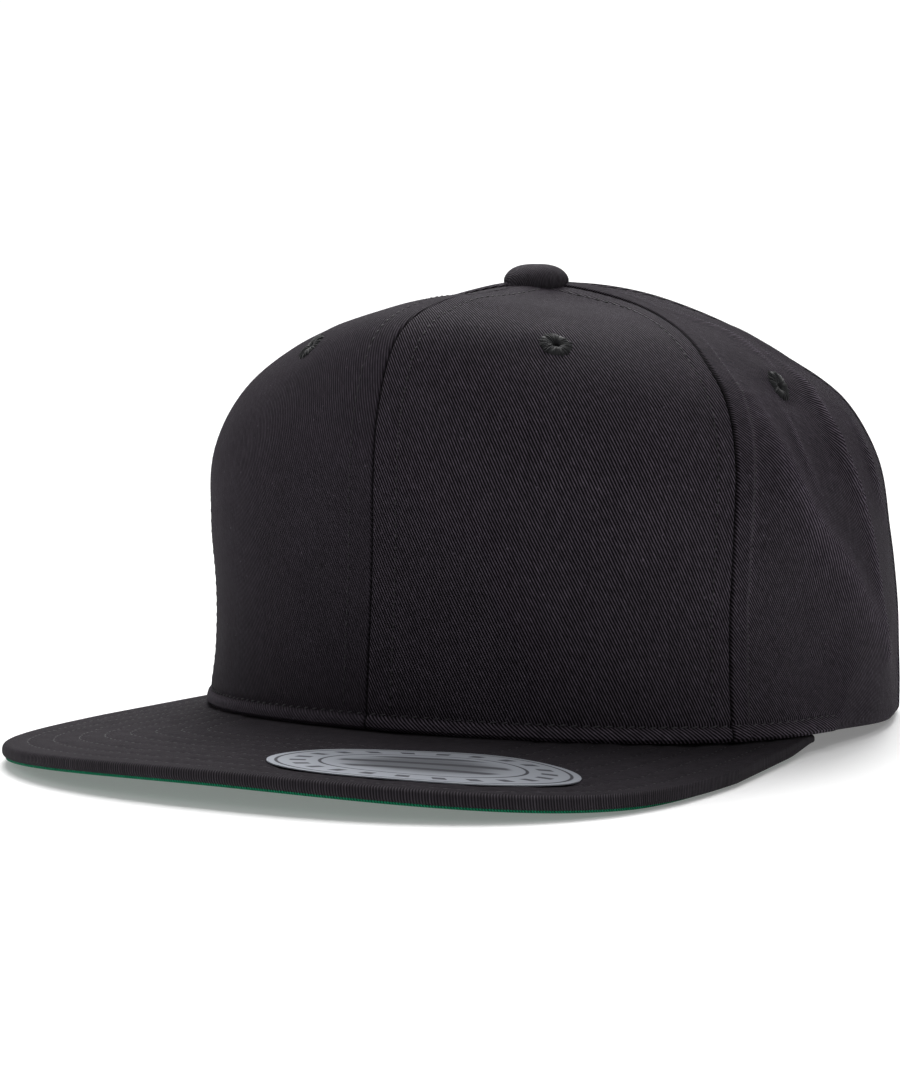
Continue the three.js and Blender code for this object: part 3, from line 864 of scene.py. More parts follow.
def stitch_rows(name, lines, pitch=None, slant=0.0):
    """Rows of slightly uneven stitches along lines, each a pair of points and the cloth's normals there."""
    pitch = pitch or crown_sizes().stitch_pitch
    random = np.random.default_rng(11)
    origins, axes = [], []
    for points, normals in lines:
        middles, along = even_steps(points, pitch)
        nearest = np.linalg.norm(middles[:, None] - points[None], axis=-1).argmin(1)
        up = unit(normals[nearest])
        sway = random.normal(0, 0.05, len(middles))[:, None]
        side = unit(np.cross(up, along))
        along = unit(along + side * (sway + slant))
        side = unit(np.cross(up, along))
        origins.append(middles + side * random.normal(0, 0.05 * MM, len(middles))[:, None])
        axes.append(np.stack([along, side, np.cross(along, side)], 1))
    origins, axes = np.concatenate(origins), np.concatenate(axes)
    scales = np.ones((len(origins), 3))
    scales[:, 0] = random.uniform(0.88, 1.06, len(origins))
    piece = copies(name, stitch_model(), origins, axes, scales)
    smooth(piece, 80)
    return piece


# Materials, whose noise scales are waves for each metre


class Signal:
    """A number or a vector on its way through a material's nodes."""

    def __init__(self, nodes, socket):
        self.nodes = nodes
        self.socket = socket

    def _math(self, operation, *values):
        return self.nodes.add("ShaderNodeMath", {"operation": operation}, *values)

    def __add__(self, other):
        return self._math("ADD", self, other)

    __radd__ = __add__

    def __mul__(self, other):
        return self._math("MULTIPLY", self, other)

    __rmul__ = __mul__

    def __sub__(self, other):
        return self._math("SUBTRACT", self, other)

    def __rsub__(self, other):
        return self._math("SUBTRACT", other, self)

    def __truediv__(self, other):
        return self._math("DIVIDE", self, other)

    def __pow__(self, power):
        return self._math("POWER", self, power)

    def __abs__(self):
        return self._math("ABSOLUTE", self)

    def floor(self):
        return self._math("FLOOR", self)

    def fraction(self):
        return self._math("FRACT", self)

    def sine(self):
        return self._math("SINE", self)

    def largest(self, other):
        return self._math("MAXIMUM", self, other)

    def ease(self, low, high):
        """0 below low, 1 above high and smooth between."""
        settings = {"interpolation_type": "SMOOTHSTEP"}
        return self.nodes.add("ShaderNodeMapRange", settings, self, low, high, 0.0, 1.0, output="Result")


class Finish:
    """A node-based material, built up by expressions on signals."""

    def __init__(self, name, **constants):
        self.material = bpy.data.materials.new(name)
        self.material.use_nodes = True
        self.tree = self.material.node_tree
        self.shader = self.tree.nodes["Principled BSDF"]
        for key, value in constants.items():
            self.shader.inputs[key.replace("_", " ").title().replace("Ior", "IOR")].default_value = value

    def add(self, kind, settings, *values, output=0, **named_values):
        """A node of a type, its settings, and the values or links of its sockets."""
        node = self.tree.nodes.new(kind)
        for key, value in settings.items():
            setattr(node, key, value)
        for key, value in [*enumerate(values), *named_values.items()]:
            if value is not None:
                self.feed(node.inputs[key], value)
        return Signal(self, node.outputs[output])

    def feed(self, socket, value):
        if isinstance(value, Signal):
            self.tree.links.new(value.socket, socket)
        else:
            socket.default_value = value

    def set(self, **links):
        for key, value in links.items():
            self.feed(self.shader.inputs[key.replace("_", " ")], value)

    def weave(self):
        """The cloth's own coordinates, in metres: across it and along it."""
        place = self.add("ShaderNodeUVMap", {"uv_map": "weave"})
        parts = self.add("ShaderNodeSeparateXYZ", {}, place)
        node = parts.socket.node
        return place, Signal(self, node.outputs["X"]), Signal(self, node.outputs["Y"])

    def wear(self):
        """The painted highlights, and the painted shade in the seams' grooves."""
        place = self.add("ShaderNodeUVMap", {"uv_map": "wear"})
        node = self.add("ShaderNodeSeparateXYZ", {}, place).socket.node
        return Signal(self, node.outputs["X"]), Signal(self, node.outputs["Y"])

    def object_place(self):
        node = self.tree.nodes.new("ShaderNodeTexCoord")
        return Signal(self, node.outputs["Object"])

    def vector(self, x, y, z=0.0):
        return self.add("ShaderNodeCombineXYZ", {}, x, y, z)

    def noise(self, place, scale, detail=2.0, roughness=0.5):
        return self.add(
            "ShaderNodeTexNoise", {}, Vector=place, Scale=scale, Detail=detail, Roughness=roughness
        )

    def shade(self, colour, factor):
        """A colour made darker or lighter by a factor."""
        return self.add("ShaderNodeVectorMath", {"operation": "SCALE"}, colour, Scale=factor)

    def blend(self, factor, first, second):
        """From the first colour to the second as the factor goes from 0 to 1."""
        node = self.tree.nodes.new("ShaderNodeMix")
        node.data_type = "RGBA"
        self.feed(node.inputs["Factor"], factor)
        for key, value in ((6, first), (7, second)):
            if not isinstance(value, Signal):
                value = (*value, 1.0)
            self.feed(node.inputs[key], value)
        return Signal(self, node.outputs[2])

    def bump(self, height, distance, strength=1.0):
        return self.add(
            "ShaderNodeBump", {}, Strength=strength, Distance=distance, Height=height
        )


def twill(name, base, lean, pitch=0.68 * MM, contrast=0.97, fluff=0.6):
    """Cotton twill: slanting ribs of staggered threads, with loose fibres and uneven dye.

    Lean is the ribs' slant in degrees, contrast says how dark it is between them, and fluff how uneven
    the fibres are.
    """
    cloud_scale, drift_scale, lint_scale, fibre_scale = 45.0, 260.0, 900.0, 3600.0
    thread_length, relief = 1.9 * pitch, 0.22 * MM
    brightness, lint_brightness, painted_seam_shade = 1.25, 1.6, 0.88
    finish = Finish(name, sheen_weight=0.01, sheen_roughness=0.45, specular_ior_level=0.035)
    place, across, along = finish.weave()
    lean = math.radians(lean)
    cloud = finish.noise(place, cloud_scale, detail=3.0)
    drift = finish.noise(place, drift_scale, detail=1.0) - 0.5
    rib_place = (along * math.cos(lean) - across * math.sin(lean)) / pitch + drift * 0.22
    rib_index = rib_place.floor()
    rib = 1 - abs(rib_place.fraction() * 2 - 1) ** 1.6
    thread_place = (across * math.cos(lean) + along * math.sin(lean)) / thread_length
    streak = finish.noise(finish.vector(rib_index * 3.7, thread_place * 0.6), 1.0)
    fibre = finish.noise(place, fibre_scale, roughness=0.7)
    height = rib * (0.85 + 0.3 * streak)
    tone = (1 - contrast) + contrast * 2.9 * height ** 3.2
    tone = tone * (0.72 + 0.56 * streak) * (1 - 0.5 * fluff + fluff * fibre) * (0.8 + 0.4 * cloud)
    # Painted light: the cloth is made paler where painted highlights lie, and darker in the painted shade
    # of a seam's groove
    wear, shade = finish.wear()
    tone = (tone * (1 + 0.9 * wear) + 0.35 * wear) * (1 - painted_seam_shade * shade)
    lint = finish.noise(place, lint_scale, detail=0.0).ease(0.8, 0.86) * (1 - shade)
    finish.set(
        Base_Color=finish.shade((*base,), tone * brightness + lint * lint_brightness),
        Roughness=0.7 + 0.14 * (1 - height) + 0.1 * (fibre - 0.5),
        Normal=finish.bump(height + 0.35 * fibre, relief, 0.9),
    )
    return finish.material


def thread_finish(name, base):
    """Sewing thread with a soft fuzz."""
    finish = Finish(name, sheen_weight=0.06, sheen_roughness=0.4, specular_ior_level=0.2)
    place = finish.object_place()
    fuzz_scale, relief = 4000.0, 0.08 * MM
    fuzz = finish.noise(place, fuzz_scale, roughness=0.6)
    finish.set(
        Base_Color=finish.shade((*base,), 0.7 + 0.7 * fuzz),
        Roughness=0.5 + 0.2 * fuzz,
        Normal=finish.bump(fuzz, relief, 0.5),
    )
    return finish.material


def plastic_finish(name, base):
    """Moulded plastic with a fine grain and faint scuffs."""
    finish = Finish(name, specular_ior_level=0.5)
    place = finish.object_place()
    grain_scale, scuff_scale, relief = 2600.0, 140.0, 0.03 * MM
    grain = finish.noise(place, grain_scale, roughness=0.6)
    scuffs = finish.noise(place, scuff_scale, detail=4.0, roughness=0.7)
    finish.set(
        Base_Color=finish.shade((*base,), 0.85 + 0.3 * scuffs),
        Roughness=0.3 + 0.16 * grain + 0.14 * scuffs,
        Normal=finish.bump(grain, relief, 0.5),
    )
    return finish.material


def foil_finish(name, base, ink):
    """Silver paper with two thin rings, a row of plain ticks between them and shaded bars inside.

    Places on the sticker are shares of the way from its middle to its edge.
    """
    outer_ring, tick_middle, inner_ring, bars_end = 0.94, 0.8, 0.66, 0.52
    ticks_round, bar_frequency = 22.0, 17.0
    line, line_edge, tick_reach, tick_edge = 0.006, 0.016, 0.045, 0.06
    faded, darker_inside = 0.9, 0.55
    finish = Finish(name, metallic=0.5)
    _, across, along = finish.weave()
    radius = (across * across + along * along) ** 0.5
    turn = finish.add("ShaderNodeMath", {"operation": "ARCTAN2"}, along, across)
    outline = 1 - abs(radius - outer_ring).ease(line, line_edge)
    inline = 1 - abs(radius - inner_ring).ease(line, line_edge)
    ticks = (turn * ticks_round).sine().ease(0.25, 0.45)
    ticks = ticks * (1 - abs(radius - tick_middle).ease(tick_reach, tick_edge))
    bars = (along * bar_frequency).sine().ease(0.0, 0.9) * (1 - radius.ease(bars_end, bars_end + 0.06))
    marks = outline.largest(inline).largest(ticks * faded).largest(bars * faded)
    brushed = finish.noise(finish.vector(across * 3.0, along * 60.0), 4.0, detail=3.0)
    inside = 1 - radius.ease(0.3, 0.62)
    tone = finish.shade((*base,), (0.85 + 0.3 * brushed) * (1 - darker_inside * inside))
    finish.set(
        Base_Color=finish.blend(marks, tone, (*ink,)),
        Roughness=0.4 + 0.12 * brushed + 0.2 * marks,
        Normal=finish.bump(1 - marks, 0.02 * MM, 0.4),
    )
    return finish.material


def plain_finish(name, base, roughness, glow):
    """A plain matt finish, lit a little from behind as a light table is."""
    finish = Finish(name, emission_color=(1, 1, 1, 1), emission_strength=glow)
    place = finish.object_place()
    mottle = finish.noise(place, 6.0)
    finish.set(
        Base_Color=finish.shade((*base,), 0.99 + 0.02 * mottle),
        Roughness=roughness,
    )
    return finish.material


# Operators


def panel_weave(kind, azimuth, climb):
    """Metres of cloth across and up a panel, from the foot of its middle line."""
    start, end = panel_edges(kind, climb)
    middle = (start + end) / 2
    across = (azimuth - middle) * per_degree(middle, climb)
    climbs, lengths = climb_lengths(PANELS[kind].middle)
    along = np.interp(climb, climbs, lengths)
    return across, along


def round_bar(place, direction, radius, reach, sides):
    """A round bar through the cloth or the plastic, to cut a hole with."""
    bpy.ops.object.select_all(action="DESELECT")
    bpy.ops.mesh.primitive_cylinder_add(
        vertices=sides,
        radius=radius,
        depth=reach,
        location=place,
        rotation=Vector(direction).to_track_quat("Z", "Y").to_euler(),
    )
    return named("bar")


def cut_away(piece, cutter):
    modify(piece, "BOOLEAN", operation="DIFFERENCE", solver="EXACT", object=cutter)
    bpy.data.objects.remove(cutter)


class CAP_OT_panels(bpy.types.Operator):
    """Sews the six twill panels of the crown"""

    bl_idname = "cap.panels"
    bl_label = "Crown Panels"

    def execute(self, context):
        for kind in PANELS:
            for side, hand in (("left", 1), ("right", -1)):
                self.panel(kind, side, hand)
        return {"FINISHED"}

    def panel(self, kind, side, hand):
        crown, cloth = crown_sizes(), PANELS[kind]
        name = f"panel_{kind}_{side}"
        piece, u, v = grid(f"{name}_cloth", cloth.columns, cloth.rows)
        azimuth, climb = panel_places(kind, u, v)
        place_vertices(piece, panel_point(kind, hand * azimuth, climb))
        across, along = panel_weave(kind, azimuth, climb)
        across = hand * across
        set_weave(piece, across, along, self.piping_weave(azimuth, climb, across, along))
        set_painted_light(piece, *self.wear(kind, azimuth, climb))
        flip_if_inward(piece, crown_normal(hand * azimuth, climb))
        thicken(piece, crown.front_cloth if kind == "front" else crown.side_cloth)
        hole = EYELETS[f"eyelet_{kind}_{side}"]
        reach, sides = 8 * MM, 24
        bar = round_bar(crown_point(*hole), crown_normal(*hole), trim_sizes().eyelet_cut, reach, sides)
        cut_away(piece, bar)
        smooth(piece)
        # Painted sheen: the front panel turned from the camera gets a paler twill with faint ribs, standing
        # in for the sheen that hides them
        painted_sheen_panel = name == "panel_front_right"
        contrast = 0.45 if painted_sheen_panel else 0.97
        material = twill(f"twill_{kind}_{side}", colours().twill, cloth.lean, contrast=contrast)
        dress(piece, material, "crown_twill", name)

    def wear(self, kind, azimuth, climb):
        """Where painted highlights lighten the cloth, on the piping, the fold crests and the side panels'
        stitched edge, and where painted shade darkens it in a seam's groove.
        """
        crown = crown_sizes()
        from_start, from_end = beside_seams(kind, azimuth, climb)
        # Painted shade: the cloth darkens within a groove's width of each seam
        shade = 0.85 * ridge(np.minimum(from_start, from_end), crown.seam_width)
        height = above_rim(azimuth, climb)
        # Painted light on the piping below the rim's stitches, which the peak shades
        painted_highlight = 0.4 * hem_piping(azimuth) * (1 - ease(height, crown.hem - MM, crown.hem))
        if kind == "side":
            # Painted highlight along the side panels' front topstitching, fading in higher up
            edge = 0.45 * ridge(from_start - crown.side_allowance, 0.9 * MM) * ease(climb, 6, 25)
            painted_highlight = np.maximum(painted_highlight, np.maximum(fold_relief(azimuth, climb)[1], edge))
        return painted_highlight, shade

    def piping_weave(self, azimuth, climb, across, along):
        """The piping is cut on the bias."""
        below_stitches = above_rim(azimuth, climb) < crown_sizes().hem - 0.3 * MM
        bias = math.radians(-24)
        return (
            below_stitches & (hem_piping(azimuth) > 0.5),
            across * math.cos(bias) - along * math.sin(bias),
            along * math.cos(bias) + across * math.sin(bias),
        )


def seam_line(kind, climbs, at_end, allowance, hand):
    """A row beside a seam, as far up as the panel is wide enough for it."""
    start, end = panel_edges(kind, climbs)
    degree = per_degree(end if at_end else start, climbs)
    azimuth = end - allowance / degree if at_end else start + allowance / degree
    wide = (end - start) * degree > 2.3 * allowance
    azimuth, climbs = hand * azimuth[wide], climbs[wide]
    return panel_point(kind, azimuth, climbs, crown_sizes().thread_lift), crown_normal(azimuth, climbs)


def hem_line(kind, hand, height):
    """The row along the rim of one panel."""
    crown = crown_sizes()
    low, high = (float(edge) for edge in panel_edges(kind, np.array(0.0)))
    high = min(high, crown.piping_end - 1)
    clear = 0.4
    azimuth = np.linspace(low + clear, high - clear, 80)
    climb = np.zeros_like(azimuth)
    per_climb = 1.8 * MM
    for _ in range(8):
        climb = climb + (height - above_rim(azimuth, climb)) / per_climb
    azimuth = hand * azimuth
    return panel_point(kind, azimuth, climb, crown.rim_lift), crown_normal(azimuth, climb)


class CAP_OT_crown_stitches(bpy.types.Operator):
    """Sews the rows of stitches beside the seams, along the rim and round the arch"""

    bl_idname = "cap.crown_stitches"
    bl_label = "Crown Stitches"

    def execute(self, context):
        crown = crown_sizes()
        thread = thread_finish("sewing_thread", colours().thread)
        foot, top = 2.6, 86
        climbs = np.linspace(foot, top, 260)
        front, side = crown.front_allowance, crown.side_allowance
        rows = {
            "front": ((False, front), (True, side)),
            "side": ((False, side), (True, side)),
            "back": ((False, side),),
        }
        seams, rim = [], []
        for kind, sides in rows.items():
            for hand in (1, -1):
                seams += [seam_line(kind, climbs, at_end, allowance, hand) for at_end, allowance in sides]
                if kind != "back":
                    rim.append(hem_line(kind, hand, crown.hem))
        above_arch = np.linspace(arch_place(np.array(90.0))[1] + 5, top, 200)
        seams += [seam_line("back", above_arch, True, front, hand) for hand in (1, -1)]
        dress(stitch_rows("seam_stitches", seams), thread, "crown_twill")
        rope = thread_finish("rim_thread", colours().rim_thread)
        dress(stitch_rows("rim_stitches", rim, slant=crown.rim_slant), rope, "crown_twill")
        insets = (crown.arch_row, crown.arch_hem)
        arch = [self.arch_row(hand, inset) for inset in insets for hand in (1, -1)]
        dress(stitch_rows("arch_stitches", arch), thread, "crown_twill")
        return {"FINISHED"}

    def arch_row(self, hand, inset):
        crown = crown_sizes()
        azimuth, climb = arch_place(np.linspace(4, 90, 90))
        azimuth = hand * (180 - (180 - azimuth) * (1 + inset / crown.arch_half_width))
        climb = climb * (1 + inset / crown.arch_height)
        return panel_point("back", azimuth, climb, crown.thread_lift), crown_normal(azimuth, climb)


# The curved share of each half of the peak's edge, and how square its corner is sideways and forwards
CURVED_SHARE = 0.8
SIDE_SQUARENESS = 0.81
FRONT_SQUARENESS = 0.66


def peak_outline(along):
    """The peak's edge from the right end round the front to the left; along runs from -1 to 1."""
    peak = peak_sizes()
    side = np.sign(along)
    turn = 90 * np.clip(np.abs(along) / CURVED_SHARE, 0, 1)
    x = side * peak.half_width * sine(turn) ** SIDE_SQUARENESS
    curved = peak.reach - peak.side_reach
    y = -peak.side_reach - curved * np.clip(cosine(turn), 0, 1) ** FRONT_SQUARENESS
    end_azimuth = math.degrees(peak.end_azimuth)
    inside = 0.6 * MM
    end = wall_point(side * end_azimuth, 0.0, np.full_like(along, inside))
    back = np.clip((np.abs(along) - CURVED_SHARE) / (1 - CURVED_SHARE), 0, 1)
    straight_x = side * peak.half_width * (1 - back) + end[..., 0] * back
    straight_y = (head_middle() - peak.side_reach) * (1 - back) + end[..., 1] * back
    curved_part = np.abs(along) <= CURVED_SHARE
    x = np.where(curved_part, x, straight_x)
    return np.stack([x, np.where(curved_part, head_middle() + y, straight_y)], -1)


def peak_inner(along):
    crown, trim = crown_sizes(), trim_sizes()
    depth = crown.front_cloth + crown.inside_gap + trim.band_thickness
    end_azimuth = math.degrees(peak_sizes().end_azimuth)
    return wall_point(along * end_azimuth, 0.0, np.full_like(along, depth))[..., :2]


def outline_distance(flat):
    """Distance of each place to the peak's edge."""
    edge = peak_outline(np.linspace(-1, 1, 900))
    result = np.zeros(len(flat))
    for start in range(0, len(flat), 4000):
        part = flat[start : start + 4000]
        result[start : start + 4000] = np.linalg.norm(part[:, None] - edge[None], axis=-1).min(1)
    return result


def level(flat):
    """Places on a level plane as points."""
    return np.concatenate([flat, np.zeros((len(flat), 1))], -1)


def peak_wave(flat):
    """The long waves of the peak, which the sticker follows."""
    peak = peak_sizes()
    return peak.wave * waves(level(flat), peak.wave_size, seed=4)


def peak_relief(flat, distance):
    """Puffed cloth between the rows of stitches, and its slight unevenness."""
    peak = peak_sizes()
    share = distance / peak.row_pitch
    stitched = (1 - ease(share, peak.rows + 0.3, peak.rows + 0.6)) * ease(share, 0.3, 0.7)
    puff = np.abs(np.sin(np.pi * share)) ** 0.6 - 1
    ripple = peak.pucker * waves(level(flat), peak.pucker_size, seed=3) + peak_wave(flat)
    return peak.channel * puff * stitched + ripple * ease(distance, 1 * MM, 8 * MM)


# One layer of the peak: how deep its top lies, its thickness, how far it stays inside the edge, the
# radius of its edge, the share of the grid's rows over its top, and whether it shows the stitched relief
Layer = namedtuple("Layer", "top thickness inset edge_round top_share relieved")
ROUND_SHARE = 0.1


def peak_ring(u, v, layer):
    """A layer of the peak: v runs over its top, round its edge, back under it and up its inner wall."""
    along = 2 * u - 1
    inner, outer = peak_inner(along), peak_outline(along)
    width = np.linalg.norm(outer - inner, axis=-1)
    near_ends = ease(np.abs(along), 0.6, 0.78)
    edge = np.maximum(width - layer.inset * (1 + 4 * near_ends), 0.15 * width)
    roll = np.minimum(layer.edge_round, 0.4 * edge)
    over = np.clip(v / layer.top_share, 0, 1)
    round_share = np.clip((v - layer.top_share) / ROUND_SHARE, 0, 1)
    foot = layer.top_share + ROUND_SHARE
    under = np.clip((v - foot) / (1 - foot), 0, 1)
    turn = np.pi * round_share
    rounded = edge - roll + roll * np.sin(turn) ** 0.8
    reach = np.where(round_share < 1, rounded, (1 - under) * (edge - roll))
    reach = np.where(v <= layer.top_share, over * (edge - roll), reach)
    fall = 0.5 - 0.5 * np.sign(np.cos(turn)) * np.abs(np.cos(turn)) ** 0.8
    drop = np.where(round_share < 1, layer.thickness * fall, layer.thickness)
    drop = np.where(v <= layer.top_share, 0, drop)
    flat = inner + (outer - inner) * (reach / width)[..., None]
    squeeze = 1 - 0.35 * ease(np.abs(along), 0.93, 1.0)
    height = peak_top(flat[:, 0]) - (layer.top + drop) * squeeze
    if layer.relieved:
        height += np.where(v <= layer.top_share, peak_relief(flat, outline_distance(flat)), 0)
    cloth = flat + unit(outer - inner) * drop[..., None]
    return np.concatenate([flat, height[:, None]], -1), cloth


class CAP_OT_peak(bpy.types.Operator):
    """Covers the flat peak with twill and lays the green cloth under it"""

    bl_idname = "cap.peak"
    bl_label = "Peak"

    def execute(self, context):
        peak = peak_sizes()
        lean = RIB_LEAN["peak"]
        cover = Layer(0.0, peak.cover + peak.wrap, 0.0, peak.edge_round, 0.72, True)
        over = twill("twill_peak", colours().peak, lean, contrast=0.5, fluff=1.2)
        dress(self.slab("peak_cover", 320, 130, cover), over, "peak_twill", "peak")
        depth = peak.cover + peak.gap
        lining = Layer(depth, peak.underside, peak.underside_inset, peak.underside_round, 0.42, False)
        under = twill("twill_underside", colours().underside, lean, contrast=0.4)
        piece = self.slab("peak_underside_cloth", 320, 60, lining)
        dress(piece, under, "underside_twill", "peak_underside")
        return {"FINISHED"}

    def edge_weave(self, u, v, top_share):
        """Round the edge the ribs stand upright."""
        share = np.linspace(0, 1, 2000)
        edge = peak_outline(2 * share - 1)
        way = np.concatenate([[0], np.cumsum(np.linalg.norm(np.diff(edge, axis=0), axis=-1))])
        place = np.interp(u, share, way)
        slant = 6 * MM * (v - top_share)
        lean = math.radians(RIB_LEAN["peak"])
        return v > top_share - 0.01, (slant - place) * math.sin(lean), (place - slant) * math.cos(lean)

    def slab(self, name, columns, rows, layer):
        piece, u, v = grid(name, columns, rows)
        points, cloth = peak_ring(u, v, layer)
        place_vertices(piece, points)
        set_weave(piece, cloth[:, 0], cloth[:, 1], self.edge_weave(u, v, layer.top_share))
        close_up(piece)
        smooth(piece, 60)
        return piece


class CAP_OT_peak_stitches(bpy.types.Operator):
    """Sews the rows of stitches along the peak"""

    bl_idname = "cap.peak_stitches"
    bl_label = "Peak Stitches"

    def execute(self, context):
        peak = peak_sizes()
        edge = peak_outline(np.linspace(-0.999, 0.999, 1400))
        tangent = unit(np.gradient(edge, axis=0))
        inwards = np.stack([-tangent[:, 1], tangent[:, 0]], -1)
        lift, fewest = 0.05 * MM, 8
        lines = []
        for row in range(1, peak.rows + 1):
            inset = row * peak.row_pitch
            line = edge + inwards * inset
            kept = outline_distance(line) > inset - 0.05 * MM
            kept &= self.outside_rim(line)
            line = line[kept]
            height = peak_top(line[:, 0]) + peak_relief(line, np.full(len(line), inset)) + lift
            points = np.concatenate([line, height[:, None]], -1)
            breaks = np.nonzero(np.linalg.norm(np.diff(line, axis=0), axis=-1) > 4 * MM)[0] + 1
            for part in np.split(points, breaks):
                if len(part) > fewest:
                    lines.append((part, np.tile([0.0, 0.0, 1.0], (len(part), 1))))
        piece = stitch_rows("peak_stitches", lines, peak.stitch_pitch)
        dress(piece, thread_finish("peak_thread", colours().peak_thread), "peak_twill")
        return {"FINISHED"}

    def outside_rim(self, flat):
        """Which places lie at least a millimetre outside the crown's rim."""
        rim = wall_point(np.linspace(-90, 90, 181), 0.0, np.full(181, -MM))[:, :2]
        centre = np.array([0, head_middle()])
        turn = np.degrees(np.arctan2(flat[:, 0], -(flat[:, 1] - centre[1])))
        rim_turn = np.degrees(np.arctan2(rim[:, 0], -(rim[:, 1] - centre[1])))
        rim_reach = np.linalg.norm(rim - centre, axis=-1)
        return np.linalg.norm(flat - centre, axis=-1) > np.interp(turn, rim_turn, rim_reach)


class CAP_OT_label(bpy.types.Operator):
    """Lays the silver sticker on the peak"""

    bl_idname = "cap.label"
    bl_label = "Sticker"

    def execute(self, context):
        trim = trim_sizes()
        piece, u, v = grid("sticker", 96, 48)
        a, b = 2 * u - 1, 2 * v - 1
        across, along = a * np.sqrt(1 - b * b / 2), b * np.sqrt(1 - a * a / 2)
        turn = trim.label_turn
        x = trim.label_half_length * across
        y = trim.label_half_width * along
        flat = np.stack(
            [
                trim.label_aside + x * math.cos(turn) - y * math.sin(turn),
                head_middle() - trim.label_forward + x * math.sin(turn) + y * math.cos(turn),
            ],
            -1,
        )
        height = peak_top(flat[:, 0]) + trim.label_lift + peak_wave(flat)
        place_vertices(piece, np.concatenate([flat, height[:, None]], -1))
        set_weave(piece, across, along)
        flip_if_inward(piece, np.array([0.0, 0.0, 1.0]))
        thicken(piece, trim.label_thickness)
        smooth(piece)
        foil = foil_finish("silver_paper", colours().foil, colours().print_ink)
        dress(piece, foil, "label_foil", "peak_label")
        return {"FINISHED"}


class CAP_OT_button(bpy.types.Operator):
    """Covers the top button with twill"""

    bl_idname = "cap.button"
    bl_label = "Top Button"

    def execute(self, context):
        trim = trim_sizes()
        piece, u, v = grid("button_cover", 96, 30)
        turn = math.tau * u
        flank, waist = 0.34, 0.7
        rise = np.pi / 2 * v / flank
        fall = np.pi / 2 * np.clip((v - flank) / (1 - flank), 0, 1)
        brim, foot = trim.button_height - trim.button_dome, -trim.button_foot
        low = v < flank
        radius = np.where(low, waist + (1 - waist) * np.sin(rise) ** 0.6, np.cos(fall) ** 0.75)
        height = np.where(
            low,
            foot + (brim - foot) * (1 - np.cos(rise)),
            brim + trim.button_dome * np.sin(fall) ** 1.1,
        )
        uneven = 0.8 * np.sin(3 * turn)
        pleat = trim.button_pleat * np.cos(trim.button_pleats * turn + uneven) * ridge(v - 0.28, 0.2)
        radius = np.maximum(trim.button_radius * radius + pleat, 0)
        top = crown_point(0.0, 90.0)
        x, y = radius * np.cos(turn), radius * np.sin(turn)
        place_vertices(piece, np.stack([top[0] + x, top[1] + y, top[2] + height], -1))
        reach = (radius + 0.6 * (trim.button_height - height)) / np.maximum(radius, 1e-5)
        set_weave(piece, x * reach, y * reach)
        close_up(piece)
        smooth(piece, 70)
        cloth = twill("twill_button", colours().button, RIB_LEAN["button"], pitch=0.5 * MM, contrast=0.35)
        dress(piece, cloth, "crown_twill", "top_button")
        return {"FINISHED"}


def cloth_normal(kind, place):
    """Which way the panel faces over a few millimetres round an eyelet."""
    azimuth, climb = float(place[0]), float(place[1])
    reach = 1.5
    turned = panel_point(kind, azimuth + np.array([-reach, reach]), np.full(2, climb))
    raised = panel_point(kind, np.full(2, azimuth), climb + np.array([-reach, reach]))
    return unit(np.cross(turned[1] - turned[0], raised[1] - raised[0]))


